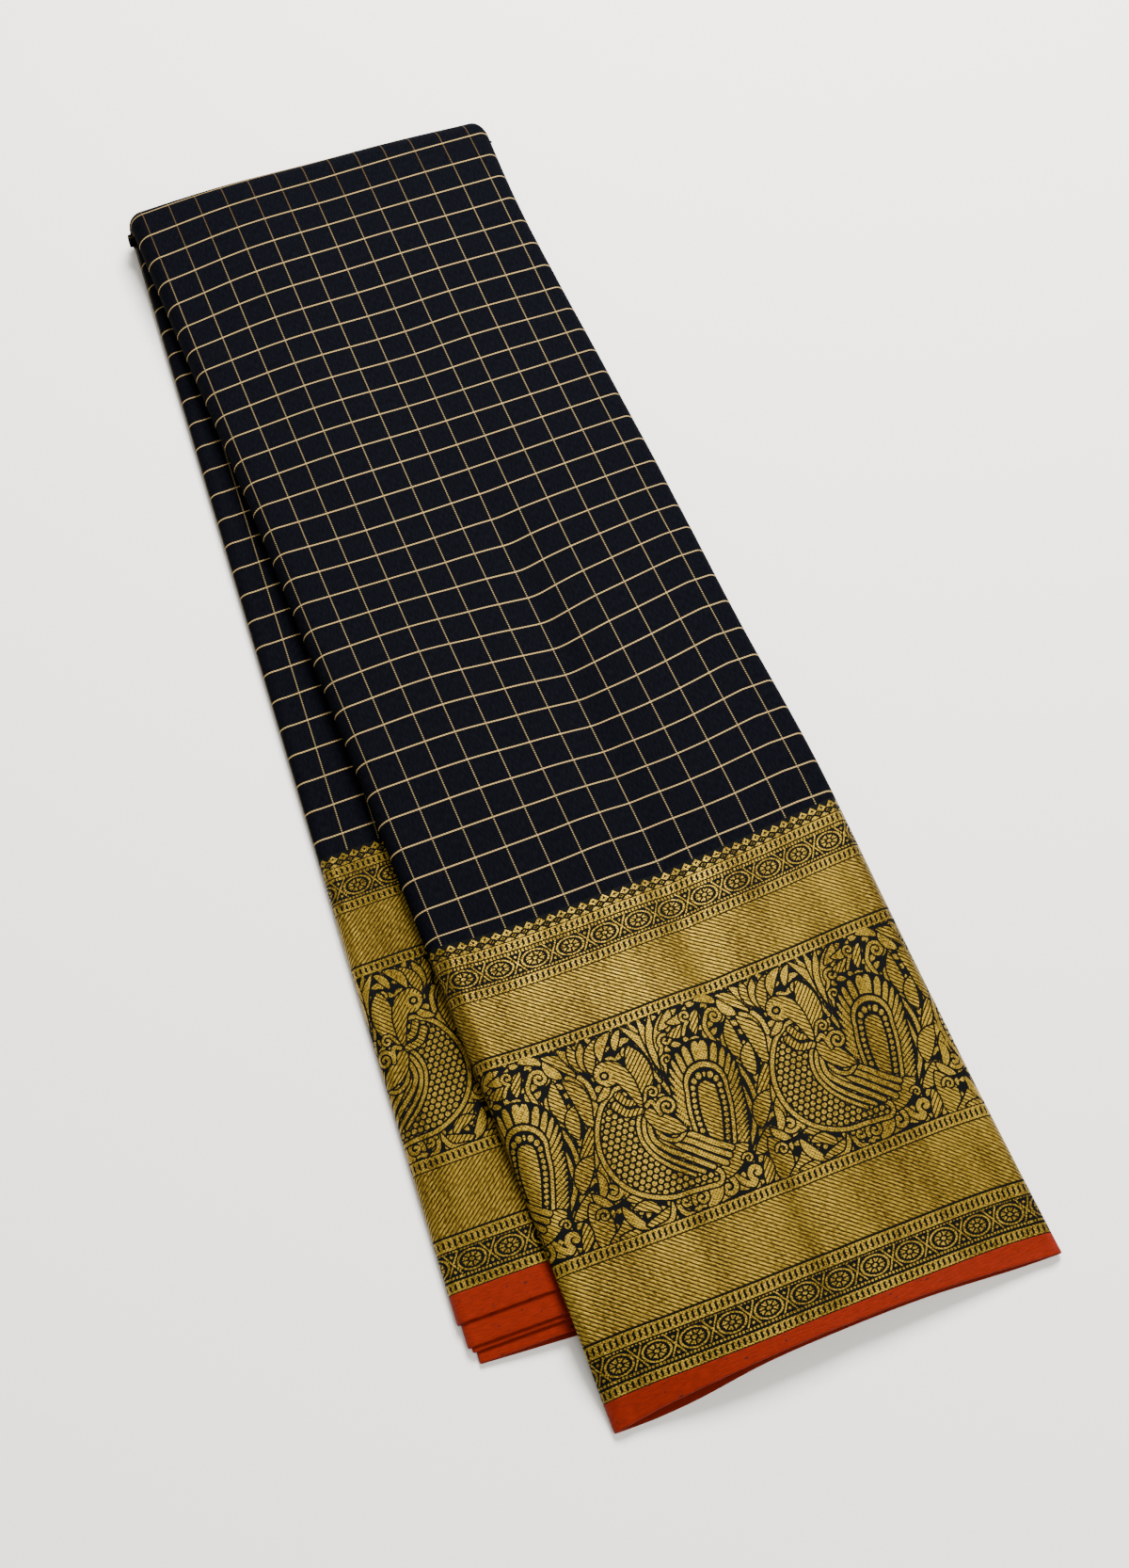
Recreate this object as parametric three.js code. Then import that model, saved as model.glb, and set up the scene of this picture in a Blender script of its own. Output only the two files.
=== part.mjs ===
// A silk saree folded for the shelf. The cloth is folded lengthwise into a band about 190 mm wide, and the
// band is folded once across its middle, so the upper half lies on the lower one, turned a few degrees from it.
// Both ends show the woven border and the plain selvedge.
// Millimetres, +Z up. The pack rests on z = 0 with its far fold towards +Y and its open ends towards -Y.
import * as THREE from "three";

// Cloth
const WALL = 1.1; // one layer of cloth, or a few pressed together
const GAP = 0.3; // clearance between neighbouring pieces
const NEST = WALL + GAP; // step from one layer to the layer inside it
const BORDER = 192; // woven border, from its teeth to the selvedge
const SELVEDGE = 10.8; // plain band outside the border

// Middle of the pack's footprint, in the axes of the tables below
const CENTRE = { x: 71, y: 94.5 };

// Lower half: its own axes are a (across, from its left edge) and b (along, from the far fold)
const LOWER_PIVOT = { x: -6.5, y: 397.4 };
const LOWER_TURN = 0.0713; // radians, how far the lower half is turned from the upper one
const LOWER_WIDTH = 187;
const LOWER_FAR = -7.3; // b of the far fold's line at the lower half's right side; 0 at its left
const LOWER_TEETH = 351.7;
const LOWER_STEPS = { first: 554.5, second: 564, third: 566, fourth: 570.5, lip: 2.5 };

// Upper half: the lines across it, as distances along +Y
const UPPER_FOLD = { left: 397.4, right: 391.4 };
const UPPER_TEETH = -13.2;
const NEAR_END = { y: -204, bow: 9.6, straightAt: 0.2 };
const LOWER_LIP = 2.6; // how far the underside shows beyond the upper lip of the mouth
const FOLD_HEIGHT = 13.75; // height of the middle of the far fold
const CORE_RECESS = { upper: 9, lower: 12 };

// Heights of the upper half's top, at five places across it
const TOP_X = [4, 45, 90, 135, 178];
const TOP = [
  { y: 397, left: 25.0, inner: 27.5, mid: 27.5, outer: 27.5, right: 27.0 },
  { y: 344, left: 22.6, inner: 26.0, mid: 26.0, outer: 26.0, right: 25.0 },
  { y: 287, left: 21.6, inner: 24.2, mid: 23.2, outer: 23.6, right: 22.6 },
  { y: 230, left: 22.5, inner: 24.4, mid: 23.4, outer: 23.4, right: 22.6 },
  { y: 172, left: 23.0, inner: 23.2, mid: 22.2, outer: 23.2, right: 22.8 },
  { y: 115, left: 23.4, inner: 24.4, mid: 22.2, outer: 24.0, right: 22.8 },
  { y: 57, left: 23.8, inner: 25.0, mid: 23.4, outer: 24.0, right: 22.2 },
  { y: 0, left: 24.2, inner: 25.4, mid: 24.6, outer: 23.8, right: 20.8 },
  { y: -60, left: 23.4, inner: 24.6, mid: 23.6, outer: 21.6, right: 17.4 },
  { y: -120, left: 21.4, inner: 22.6, mid: 21.4, outer: 18.6, right: 13.4 },
  { y: -170, left: 17.4, inner: 19.6, mid: 18.8, outer: 15.4, right: 9.6 },
  { y: -195, left: 11.0, inner: 16.4, mid: 16.2, outer: 12.8, right: 7.2 },
  { y: -217, left: 4.4, inner: 13.2, mid: 13.6, outer: 10.6, right: 5.2 },
];

// The upper half's side folds
const EDGES = [
  { y: 398, left: -5.4, right: 184.8 },
  { y: 343, left: -4.6, right: 182.3 },
  { y: 258, left: -3.2, right: 184.0 },
  { y: 173, left: -2.6, right: 185.4 },
  { y: 88, left: -3.1, right: 185.8 },
  { y: 7, left: -3.8, right: 188.0 },
  { y: -73, left: -4.2, right: 187.0 },
  { y: -154, left: -4.8, right: 186.4 },
  { y: -225, left: -5.2, right: 187.2 },
];

// Long soft folds in the upper half's top: a trough has a negative rise
const FOLDS = [
  { x: 100, lean: 0.012, from: 205, to: -240, rise: -1.7, width: 8 },
  { x: 76, lean: 0.02, from: 190, to: -120, rise: 0.7, width: 9 },
  { x: 128, lean: -0.03, from: 150, to: -90, rise: 0.6, width: 11 },
];

// Heights of the lower half's top, at four places across it
const LOWER_A = [7, 22, 45, 178];
const LOWER_TOP = [
  { b: 0, edge: 12.0, slope: 13.0, flat: 13.4, right: 12.8 },
  { b: 60, edge: 8.6, slope: 10.6, flat: 12.5, right: 11.6 },
  { b: 200, edge: 7.8, slope: 9.8, flat: 12.0, right: 11.0 },
  { b: 400, edge: 7.6, slope: 9.6, flat: 11.8, right: 10.4 },
  { b: 520, edge: 7.4, slope: 9.4, flat: 11.4, right: 9.6 },
  { b: 575, edge: 7.0, slope: 8.8, flat: 10.4, right: 8.8 },
];

// Round-over of the side folds, and how high each fold's outermost point lies in its thickness
const UPPER_ROUND = { left: 8, right: 6.5, belly: 0.4 };
const LOWER_ROUND = { left: 5.5, right: 6, belly: 0.42 };

// How the upper half comes down to the floor past the lower half's right side and near end
const DRAPE = { sideFrom: 185, side: 34, endFrom: 574, end: 32 };

const SILK = { color: 0x14161e, roughness: 0.5, metalness: 0 };
const ZARI = { color: 0x9c7830, roughness: 0.42, metalness: 0.35 };
const PLAIN = { color: 0xb23410, roughness: 0.55, metalness: 0 };
const INNER = { color: 0x4a1410, roughness: 0.7, metalness: 0 };

const clamp01 = (t) => Math.min(1, Math.max(0, t));
const mix = (p, q, t) => p + (q - p) * t;
const ease = (t) => clamp01(t) ** 2 * (3 - 2 * clamp01(t));
const arc = (t) => Math.sqrt(1 - (1 - clamp01(t)) ** 2);

// Cubic curve through (xs, values) in rising order of xs, level beyond both ends.
function curve(xs, values, x) {
  const last = xs.length - 1;
  if (x <= xs[0]) return values[0];
  if (x >= xs[last]) return values[last];
  let i = 0;
  while (x > xs[i + 1]) i += 1;
  const slope = (k) => {
    const lo = Math.max(0, k - 1);
    const hi = Math.min(last, k + 1);
    return (values[hi] - values[lo]) / (xs[hi] - xs[lo]);
  };
  const span = xs[i + 1] - xs[i];
  const t = (x - xs[i]) / span;
  const near = (1 + 2 * t) * (1 - t) ** 2 * values[i] + t * (1 - t) ** 2 * span * slope(i);
  const far = t * t * (3 - 2 * t) * values[i + 1] + t * t * (t - 1) * span * slope(i + 1);
  return near + far;
}

// A table with the key column falling or rising, read at one value of the key.
function column(table, key, name) {
  const rows = [...table].sort((p, q) => p[key] - q[key]);
  const xs = rows.map((row) => row[key]);
  const values = rows.map((row) => row[name]);
  return (x) => curve(xs, values, x);
}

const leftEdge = column(EDGES, "y", "left");
const rightEdge = column(EDGES, "y", "right");
const topColumns = ["left", "inner", "mid", "outer", "right"].map((name) => column(TOP, "y", name));
const lowerColumns = ["edge", "slope", "flat", "right"].map((name) => column(LOWER_TOP, "b", name));

// Rise of the long soft folds at a point of the upper half's top.
function folds(x, y) {
  return FOLDS.reduce((sum, fold) => {
    const off = (x - fold.x - fold.lean * y) / fold.width;
    const along = ease((fold.from - y) / 60) * ease((y - fold.to) / 60);
    return sum + fold.rise * along * Math.exp(-off * off);
  }, 0);
}

function upperTop(x, y) {
  const across = topColumns.map((height) => height(y));
  return curve(TOP_X, across, x) + folds(x, y);
}

function lowerTop(a, b) {
  const across = lowerColumns.map((height) => height(b));
  return curve(LOWER_A, across, a);
}

const turn = { cos: Math.cos(LOWER_TURN), sin: Math.sin(LOWER_TURN) };

function lowerPlace(a, b) {
  return [
    LOWER_PIVOT.x + a * turn.cos - b * turn.sin,
    LOWER_PIVOT.y - a * turn.sin - b * turn.cos,
  ];
}

function lowerAxes(x, y) {
  const dx = x - LOWER_PIVOT.x;
  const dy = y - LOWER_PIVOT.y;
  return [dx * turn.cos - dy * turn.sin, -dx * turn.sin - dy * turn.cos];
}

// The upper half's underside lies on the lower half, and beyond it comes down to the floor.
function upperBottom(x, y) {
  const [a, b] = lowerAxes(x, y);
  const side = 1 - ease((a - DRAPE.sideFrom) / DRAPE.side);
  const end = 1 - ease((b - DRAPE.endFrom) / DRAPE.end);
  return (lowerTop(a, b) + GAP) * side * end;
}

const UPPER = {
  left: leftEdge,
  right: rightEdge,
  top: upperTop,
  bottom: upperBottom,
  place: (x, y) => [x, y],
  round: UPPER_ROUND,
};

const LOWER = {
  left: () => 0,
  right: () => LOWER_WIDTH,
  top: lowerTop,
  bottom: () => 0,
  place: lowerPlace,
  round: LOWER_ROUND,
};

// Places round a flattened tube: over the top from left to right, then back under it.
function outline(flatSteps, foldSteps) {
  const ends = Array.from({ length: foldSteps + 1 }, (_, i) => (1 - Math.cos((Math.PI / 2) * (i / foldSteps))));
  const round = 8 / 190; // share of the width that a side fold's round-over takes
  const left = ends.map((t) => t * round);
  const right = ends.map((t) => 1 - t * round).reverse();
  const flat = Array.from({ length: flatSteps - 1 }, (_, i) => mix(round, 1 - round, (i + 1) / flatSteps));
  const across = [...left, ...flat, ...right];
  const over = across.map((f) => ({ f, over: true }));
  const under = across.slice(1, -1).reverse().map((f) => ({ f, over: false }));
  return { over, all: [...over, ...under] };
}

// A point of a half's surface, or of the surface that lies inset mm inside it. The underside of an inset surface
// is let down by the half's drop at that b, if it has one.
function point(half, spot, b, inset, drop = () => 0) {
  const a0 = half.left(b) + inset;
  const a1 = half.right(b) - inset;
  const a = mix(a0, a1, spot.f);
  const { left, right, belly } = half.round;
  const rise = arc((a - a0) / (left - inset)) * arc((a1 - a) / (right - inset));
  const high = half.top(a, b) - inset;
  const low = half.bottom(a, b) + inset - drop(b);
  const middle = mix(low, high, belly);
  const least = 0.2; // half thickness that a pinched fold keeps
  const up = Math.max(least, high - middle) * rise;
  const down = Math.max(least, middle - low) * rise;
  const [x, y] = half.place(a, b);
  return new THREE.Vector3(x, y, spot.over ? middle + up : middle - down);
}

// Lines across a half, evenly spaced from one to another: a line gives b for each place round the half.
const spaced = (from, to, steps) =>
  Array.from({ length: steps + 1 }, (_, j) => (spot) => mix(from(spot), to(spot), j / steps));

// A closed mesh from points and triangles, turned so that its faces point out.
function solid(name, points, triangles, finish) {
  const volume = triangles.reduce((sum, [i, j, k]) => {
    return sum + points[i].dot(new THREE.Vector3().crossVectors(points[j], points[k]));
  }, 0);
  const faces = volume > 0 ? triangles : triangles.map(([i, j, k]) => [i, k, j]);
  const geometry = new THREE.BufferGeometry();
  geometry.setFromPoints(points);
  geometry.setIndex(faces.flat());
  geometry.computeVertexNormals();
  const mesh = new THREE.Mesh(geometry, new THREE.MeshStandardMaterial(finish));
  mesh.name = name;
  return mesh;
}

const quad = (p, q, r, s) => [
  [p, q, r],
  [p, r, s],
];

// A wall between rows of outer and inner points; a closed one joins each row's last place to its first.
function skin(name, finish, rows, closed) {
  const count = rows[0].outer.length;
  const steps = rows.length - 1;
  const points = rows.flatMap(({ outer, inner }) => [...outer, ...inner]);
  const outer = (i, j) => 2 * count * j + (i % count);
  const inner = (i, j) => outer(i, j) + count;
  const triangles = [];
  for (let i = 0; i < (closed ? count : count - 1); i += 1) {
    for (let j = 0; j < steps; j += 1) {
      triangles.push(...quad(outer(i, j), outer(i, j + 1), outer(i + 1, j + 1), outer(i + 1, j)));
      triangles.push(...quad(inner(i, j), inner(i + 1, j), inner(i + 1, j + 1), inner(i, j + 1)));
    }
    triangles.push(...quad(outer(i, 0), outer(i + 1, 0), inner(i + 1, 0), inner(i, 0)));
    triangles.push(...quad(outer(i, steps), inner(i, steps), inner(i + 1, steps), outer(i + 1, steps)));
  }
  const last = count - 1;
  for (let j = 0; j < (closed ? 0 : steps); j += 1) {
    triangles.push(...quad(outer(0, j), inner(0, j), inner(0, j + 1), outer(0, j + 1)));
    triangles.push(...quad(outer(last, j), outer(last, j + 1), inner(last, j + 1), inner(last, j)));
  }
  return solid(name, points, triangles, finish);
}

// A wall of cloth through lines across the half. An open one covers only part of the way round.
function wall(name, finish, { half, spots, lines, inset = 0, open = false, drop }) {
  const rows = lines.map((line) => {
    const ring = (depth) => spots.map((spot) => point(half, spot, line(spot), depth, drop));
    return { outer: ring(inset), inner: ring(inset + WALL) };
  });
  return skin(name, finish, rows, !open);
}

// A solid through rings of equally many points. Each end is closed in strips across the ring, from a place to
// the one that lies over it, which is fold places on from the ring's start less its own number.
function loft(name, finish, rings, fold) {
  const count = rings[0].length;
  const last = rings.length - 1;
  const points = rings.flat();
  const at = (i, j) => count * j + (i % count);
  const triangles = [];
  for (let j = 0; j < last; j += 1) {
    for (let i = 0; i < count; i += 1) triangles.push(...quad(at(i, j), at(i, j + 1), at(i + 1, j + 1), at(i + 1, j)));
  }
  for (let i = 0; i < fold / 2; i += 1) {
    const across = fold - i;
    triangles.push(...quad(at(i, 0), at(i + 1, 0), at(across - 1, 0), at(across, 0)));
    triangles.push(...quad(at(i, last), at(across, last), at(across - 1, last), at(i + 1, last)));
  }
  const whole = triangles.filter(([i, j, k]) => i !== j && j !== k && k !== i);
  return solid(name, points, whole, finish);
}

// The hidden layers of one half, in one solid through lines across it. Its near end steps in and out like the
// layers' edges: each terrace lies into mm further inside, and shift mm along b from the last line.
function hiddenLayers(name, { half, spots, lines, inset, terraces }) {
  const ring = (line, depth) => spots.map((spot) => point(half, spot, line(spot), depth));
  const end = lines[lines.length - 1];
  const body = lines.map((line) => ring(line, inset));
  const steps = terraces.map(({ into, shift }) => ring((spot) => end(spot) + shift, inset + into));
  return loft(name, INNER, [...body, ...steps], spots.length);
}

const around = outline(16, 3);

// Lines across each half, for each place round it
const foldLine = ({ f }) => mix(UPPER_FOLD.left, UPPER_FOLD.right, f);
const lowerFarLine = ({ f }) => LOWER_FAR * f;
const teethLine = () => UPPER_TEETH;
const selvedgeLine = ({ f }) => NEAR_END.y - NEAR_END.bow * (f - NEAR_END.straightAt) ** 2;
const lipLine = ({ f, over }) => selvedgeLine({ f }) - SELVEDGE - (over ? 0 : LOWER_LIP * Math.sin(Math.PI * f));

// The upper half: field, border and selvedge, each a flattened tube, one after the other.
function upperHalf() {
  const base = { half: UPPER, spots: around.all };
  const past = (line) => (spot) => line(spot) - GAP;
  const field = spaced(foldLine, teethLine, 18);
  const border = spaced(past(teethLine), selvedgeLine, 10);
  const coreEnd = ({ f }) => lipLine({ f, over: true }) + CORE_RECESS.upper;
  return [
    wall("upper_field", SILK, { ...base, lines: field }),
    wall("upper_border", ZARI, { ...base, lines: border }),
    wall("upper_selvedge", PLAIN, { ...base, lines: spaced(past(selvedgeLine), lipLine, 2) }),
    hiddenLayers("upper_layers", {
      ...base,
      lines: [...field, ...border.slice(1), coreEnd],
      inset: NEST,
      terraces: [
        { into: 0.7, shift: 0 },
        { into: 0.7, shift: 2.2 },
        { into: 1.3, shift: 2.2 },
        { into: 1.3, shift: -1.5 },
        { into: 1.7, shift: -1.5 },
      ],
    }),
  ];
}

// The lower half: field, border and selvedge, then the layers whose selvedges step out from under it.
function lowerHalf() {
  const base = { half: LOWER, spots: around.all };
  const across = (b) => () => b;
  const cover = around.over.slice(0, -3);
  const { first, second, third, fourth, lip } = LOWER_STEPS;
  const selvedge = LOWER_TEETH + BORDER;
  const hidden = first - CORE_RECESS.lower;
  const lastLip = ({ f, over }) => fourth + (over ? 0 : lip * Math.sin(Math.PI * f));
  const field = spaced(lowerFarLine, across(LOWER_TEETH), 10);
  const border = spaced(across(LOWER_TEETH + GAP), across(selvedge), 5);
  const step = (name, number, end) =>
    wall(name, PLAIN, {
      half: LOWER,
      spots: cover,
      lines: spaced(across(hidden), across(end), 2),
      inset: NEST * number,
      open: true,
    });
  return [
    wall("lower_field", SILK, { ...base, lines: field }),
    wall("lower_border", ZARI, { ...base, lines: border }),
    wall("lower_selvedge_1", PLAIN, { ...base, lines: spaced(across(selvedge + GAP), across(first), 2) }),
    step("lower_selvedge_2", 1, second),
    step("lower_selvedge_3", 2, third),
    wall("lower_selvedge_4", PLAIN, {
      ...base,
      lines: spaced(across(hidden), lastLip, 4),
      inset: NEST * 3,
      drop: (b) => NEST * (2 + ease((b - first - 1) / 6)),
    }),
    hiddenLayers("lower_layers", {
      ...base,
      lines: [...field, ...border.slice(1, -1), across(hidden - GAP)],
      inset: NEST,
      terraces: [{ into: 0.6, shift: 0 }],
    }),
  ];
}

// A point of the far fold: angle runs from the upper half's top to the lower half's underside, share is the
// part of the way out from the fold's middle line, less depth mm.
function foldPoint(f, angle, share, depth) {
  const up = (1 + Math.sin(angle)) / 2;
  const top = point(UPPER, { f, over: true }, foldLine({ f }), 0);
  const foot = point(LOWER, { f, over: false }, lowerFarLine({ f }), 0);
  const radius = (mix(FOLD_HEIGHT - foot.z, top.z - FOLD_HEIGHT, up) - depth) * share;
  return new THREE.Vector3(
    mix(foot.x, top.x, up),
    mix(foot.y, top.y, up) + GAP + radius * Math.cos(angle),
    FOLD_HEIGHT + radius * Math.sin(angle),
  );
}

const FOLD_STEPS = 10;
const foldAngles = Array.from({ length: FOLD_STEPS + 1 }, (_, j) => mix(Math.PI / 2, -Math.PI / 2, j / FOLD_STEPS));

// The outer cloth round the far fold, from the upper half's top to the lower half's underside.
function farFold() {
  const rows = foldAngles.map((angle) => {
    const line = (depth) => around.over.map(({ f }) => foldPoint(f, angle, 1, depth));
    return { outer: line(0), inner: line(WALL) };
  });
  return skin("far_fold", SILK, rows, false);
}

// The layers inside the far fold: a half round bar, stepped at both ends like the edges of nested layers.
function foldLayers() {
  const edges = [
    { share: 0.12, out: 1.2 },
    { share: 0.3, out: 1.4 },
    { share: 0.34, out: -0.4 },
    { share: 0.5, out: -0.2 },
    { share: 0.54, out: 1.8 },
    { share: 0.7, out: 2.0 },
    { share: 0.74, out: 0.2 },
    { share: 0.9, out: 0.4 },
  ];
  const ring = (f, share, shift) =>
    foldAngles.map((angle) => {
      const place = foldPoint(f, angle, share, NEST);
      place.x += shift;
      return place;
    });
  const left = edges.map(({ share, out }) => ring(0, share, -out));
  const body = around.over.map(({ f }) => ring(f, 1, 0));
  const right = [...edges].reverse().map(({ share, out }) => ring(1, share, out));
  return loft("fold_layers", INNER, [...left, ...body, ...right], FOLD_STEPS);
}

const pack = new THREE.Group();
pack.add(...upperHalf(), ...lowerHalf(), farFold(), foldLayers());
pack.position.set(-CENTRE.x, -CENTRE.y, 0);

export default pack;
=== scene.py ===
"""A silk saree folded for the shelf: its cloth, its woven gold and its light.

The saree lies in two halves, the upper one on the lower one and turned a little from it. Each half is a
flattened tube of cloth round its hidden layers. The tables are in millimetres, in the axes of the check:
x across the band from the first lengthwise line, y along it from the last row above the border. Meshes are
in metres.
"""

import logging
from dataclasses import dataclass, field
from enum import Enum
from typing import Callable, Iterator, Sequence

import bmesh
import bpy
import numpy as np
from mathutils import Euler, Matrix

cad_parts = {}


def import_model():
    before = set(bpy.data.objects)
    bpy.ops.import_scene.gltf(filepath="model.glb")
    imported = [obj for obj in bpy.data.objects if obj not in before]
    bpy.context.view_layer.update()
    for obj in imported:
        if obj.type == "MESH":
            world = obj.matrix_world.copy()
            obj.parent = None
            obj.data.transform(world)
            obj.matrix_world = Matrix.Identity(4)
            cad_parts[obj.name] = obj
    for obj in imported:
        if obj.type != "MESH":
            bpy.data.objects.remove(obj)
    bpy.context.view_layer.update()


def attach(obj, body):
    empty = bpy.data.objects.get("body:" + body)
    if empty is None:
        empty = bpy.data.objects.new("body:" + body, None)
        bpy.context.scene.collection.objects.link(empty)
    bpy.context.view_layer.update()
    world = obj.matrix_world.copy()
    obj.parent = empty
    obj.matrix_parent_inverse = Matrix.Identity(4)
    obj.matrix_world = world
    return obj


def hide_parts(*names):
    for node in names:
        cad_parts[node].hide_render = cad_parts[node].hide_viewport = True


Array = np.ndarray
Line = Callable[[Array], Array]
Table = Sequence[Sequence[float]]
Socket = bpy.types.NodeSocket
Colour = tuple[float, float, float, float]

log = logging.getLogger("saree")

MM = 0.001
CENTRE = (71.0, 94.5)  # middle of the pack's footprint, in the axes of the tables
WIDTH = 190.0  # nominal width of a half, by which the places round it are spaced
SIDE_FOLD = 8.0 / WIDTH  # share of the width that a side fold takes
COARSE = 5.0 / WIDTH  # step between places on the top where nothing fine shows
FOLD_PLACES = 9  # places over each side fold's quarter circle
NEST = 1.4  # step from one layer to the layer inside it
CHECK = 14.35  # pitch of the check, both ways
BORDER = 192.0  # woven border, from its teeth to the selvedge
SELVEDGE = 10.8  # plain band outside the border
LIP = 0.55  # half thickness of the cloth where an edge shows
TUCK = 2.5  # how much further in the inner face of a closed hem starts
JOINED = 1e-7  # metres between points that are the same


# Curves


def curve(xs: Sequence[float], values: Array, x: Array) -> Array:
    """Cubic curve through a table, level beyond both ends.

    Between two entries it is the Hermite cubic whose slope at an entry is that of the chord between its
    neighbours.

    Args:
        xs: The table's keys, rising.
        values: One value for each key, or one array of x's shape for each key.
        x: Where to read the curve.

    Returns:
        The curve's values at x.
    """
    keys = np.asarray(xs, float)
    table = np.asarray(values, float)
    last = len(keys) - 1
    slopes = np.empty_like(table)
    spans = (keys[2:] - keys[:-2]).reshape((-1,) + (1,) * (table.ndim - 1))
    slopes[1:-1] = (table[2:] - table[:-2]) / spans
    slopes[0] = (table[1] - table[0]) / (keys[1] - keys[0])
    slopes[-1] = (table[-1] - table[-2]) / (keys[-1] - keys[-2])
    at = np.clip(x, keys[0], keys[-1])
    i = np.clip(np.searchsorted(keys, at, side="right") - 1, 0, last - 1)

    def pick(source: Array, index: Array) -> Array:
        """The entry of the table for each place."""
        return source[index] if source.ndim == 1 else np.take_along_axis(source, index[None], 0)[0]

    span = keys[i + 1] - keys[i]
    t = (at - keys[i]) / span
    near = (1 + 2 * t) * (1 - t) ** 2 * pick(table, i) + t * (1 - t) ** 2 * span * pick(slopes, i)
    far = t * t * (3 - 2 * t) * pick(table, i + 1) + t * t * (t - 1) * span * pick(slopes, i + 1)
    return near + far


def lines(table: Table) -> tuple[Line, ...]:
    """Curves over a table's first column, one for each of the others."""
    rows = np.array(sorted(table), float)

    def line(values: Array) -> Line:
        """One column as a curve."""
        return lambda x: curve(rows[:, 0], values, x)

    return tuple(line(values) for values in rows[:, 1:].T)


def ease(t: Array) -> Array:
    """Smooth step from 0 to 1: 3t² - 2t³, held at both ends."""
    held = np.clip(t, 0, 1)
    return held**2 * (3 - 2 * held)


def arc(t: Array) -> Array:
    """Height of a quarter circle at t of its width, level past it."""
    return np.sqrt(1 - (1 - np.clip(t, 0, 1)) ** 2)


def ripple(x: Array, y: Array, seed: int, size: float) -> Array:
    """A soft uneven surface about 1 high, as the sum of seven sine waves in mixed directions.

    Args:
        x: Across, mm.
        y: Along, mm.
        seed: Picks the directions and phases.
        size: Mean wavelength, mm.

    Returns:
        The surface's height, of x's shape.
    """
    waves, usual_height = 7, 3.0
    rng = np.random.default_rng(seed)
    total = np.zeros(np.broadcast(x, y).shape)
    for _ in range(waves):
        angle, phase = rng.uniform(0, 2 * np.pi, 2)
        wave = 2 * np.pi / (size * rng.uniform(0.6, 1.7))
        total = total + np.sin(wave * (x * np.cos(angle) + y * np.sin(angle)) + phase)
    return total / usual_height


# The two halves


@dataclass(frozen=True)
class RoundOver:
    """Round-over of a half's side folds, mm, and how high in the thickness the outermost line lies."""

    left: float
    right: float
    belly: float


@dataclass(frozen=True)
class Ring:
    """Places round a flattened tube, from the middle of its underside over the top and back there."""

    f: Array
    over: Array

    @staticmethod
    def spaced(step: float, dense: tuple[float, float], fold: int) -> "Ring":
        """A ring whose places lie step mm apart on a stretch of the top, and coarser elsewhere.

        Over a side fold they lie at even angles of its quarter circle. The last place lies on the first.

        Args:
            step: Spacing of the dense stretch, mm.
            dense: The dense stretch, as shares of the width.
            fold: Places over each side fold's quarter circle.

        Returns:
            The ring.
        """
        under_places = 25
        turn = (1 - np.cos(np.linspace(0, np.pi / 2, fold + 1))) * SIDE_FOLD
        far_turn = 1 - turn[::-1]
        lo, hi = max(dense[0], SIDE_FOLD), min(dense[1], 1 - SIDE_FOLD)
        parts = [turn[:-1], np.linspace(lo, hi, int((hi - lo) * WIDTH / step) + 1)]
        if hi < 1 - SIDE_FOLD:
            places = max(2, int((1 - SIDE_FOLD - hi) / COARSE))
            parts.append(np.linspace(hi, 1 - SIDE_FOLD, places)[1:])
        top = np.concatenate([*parts, far_turn[1:]])
        flat = np.linspace(SIDE_FOLD, 1 - SIDE_FOLD, under_places)
        under = np.concatenate([turn[1:-1], flat, far_turn[1:-1]])
        left = under[under <= 0.5][::-1]
        right = under[under > 0.5][::-1]
        f = np.concatenate([left, top, right, left[:1]])
        over = np.zeros(len(f), bool)
        over[len(left) : len(left) + len(top)] = True
        return Ring(f, over)


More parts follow.
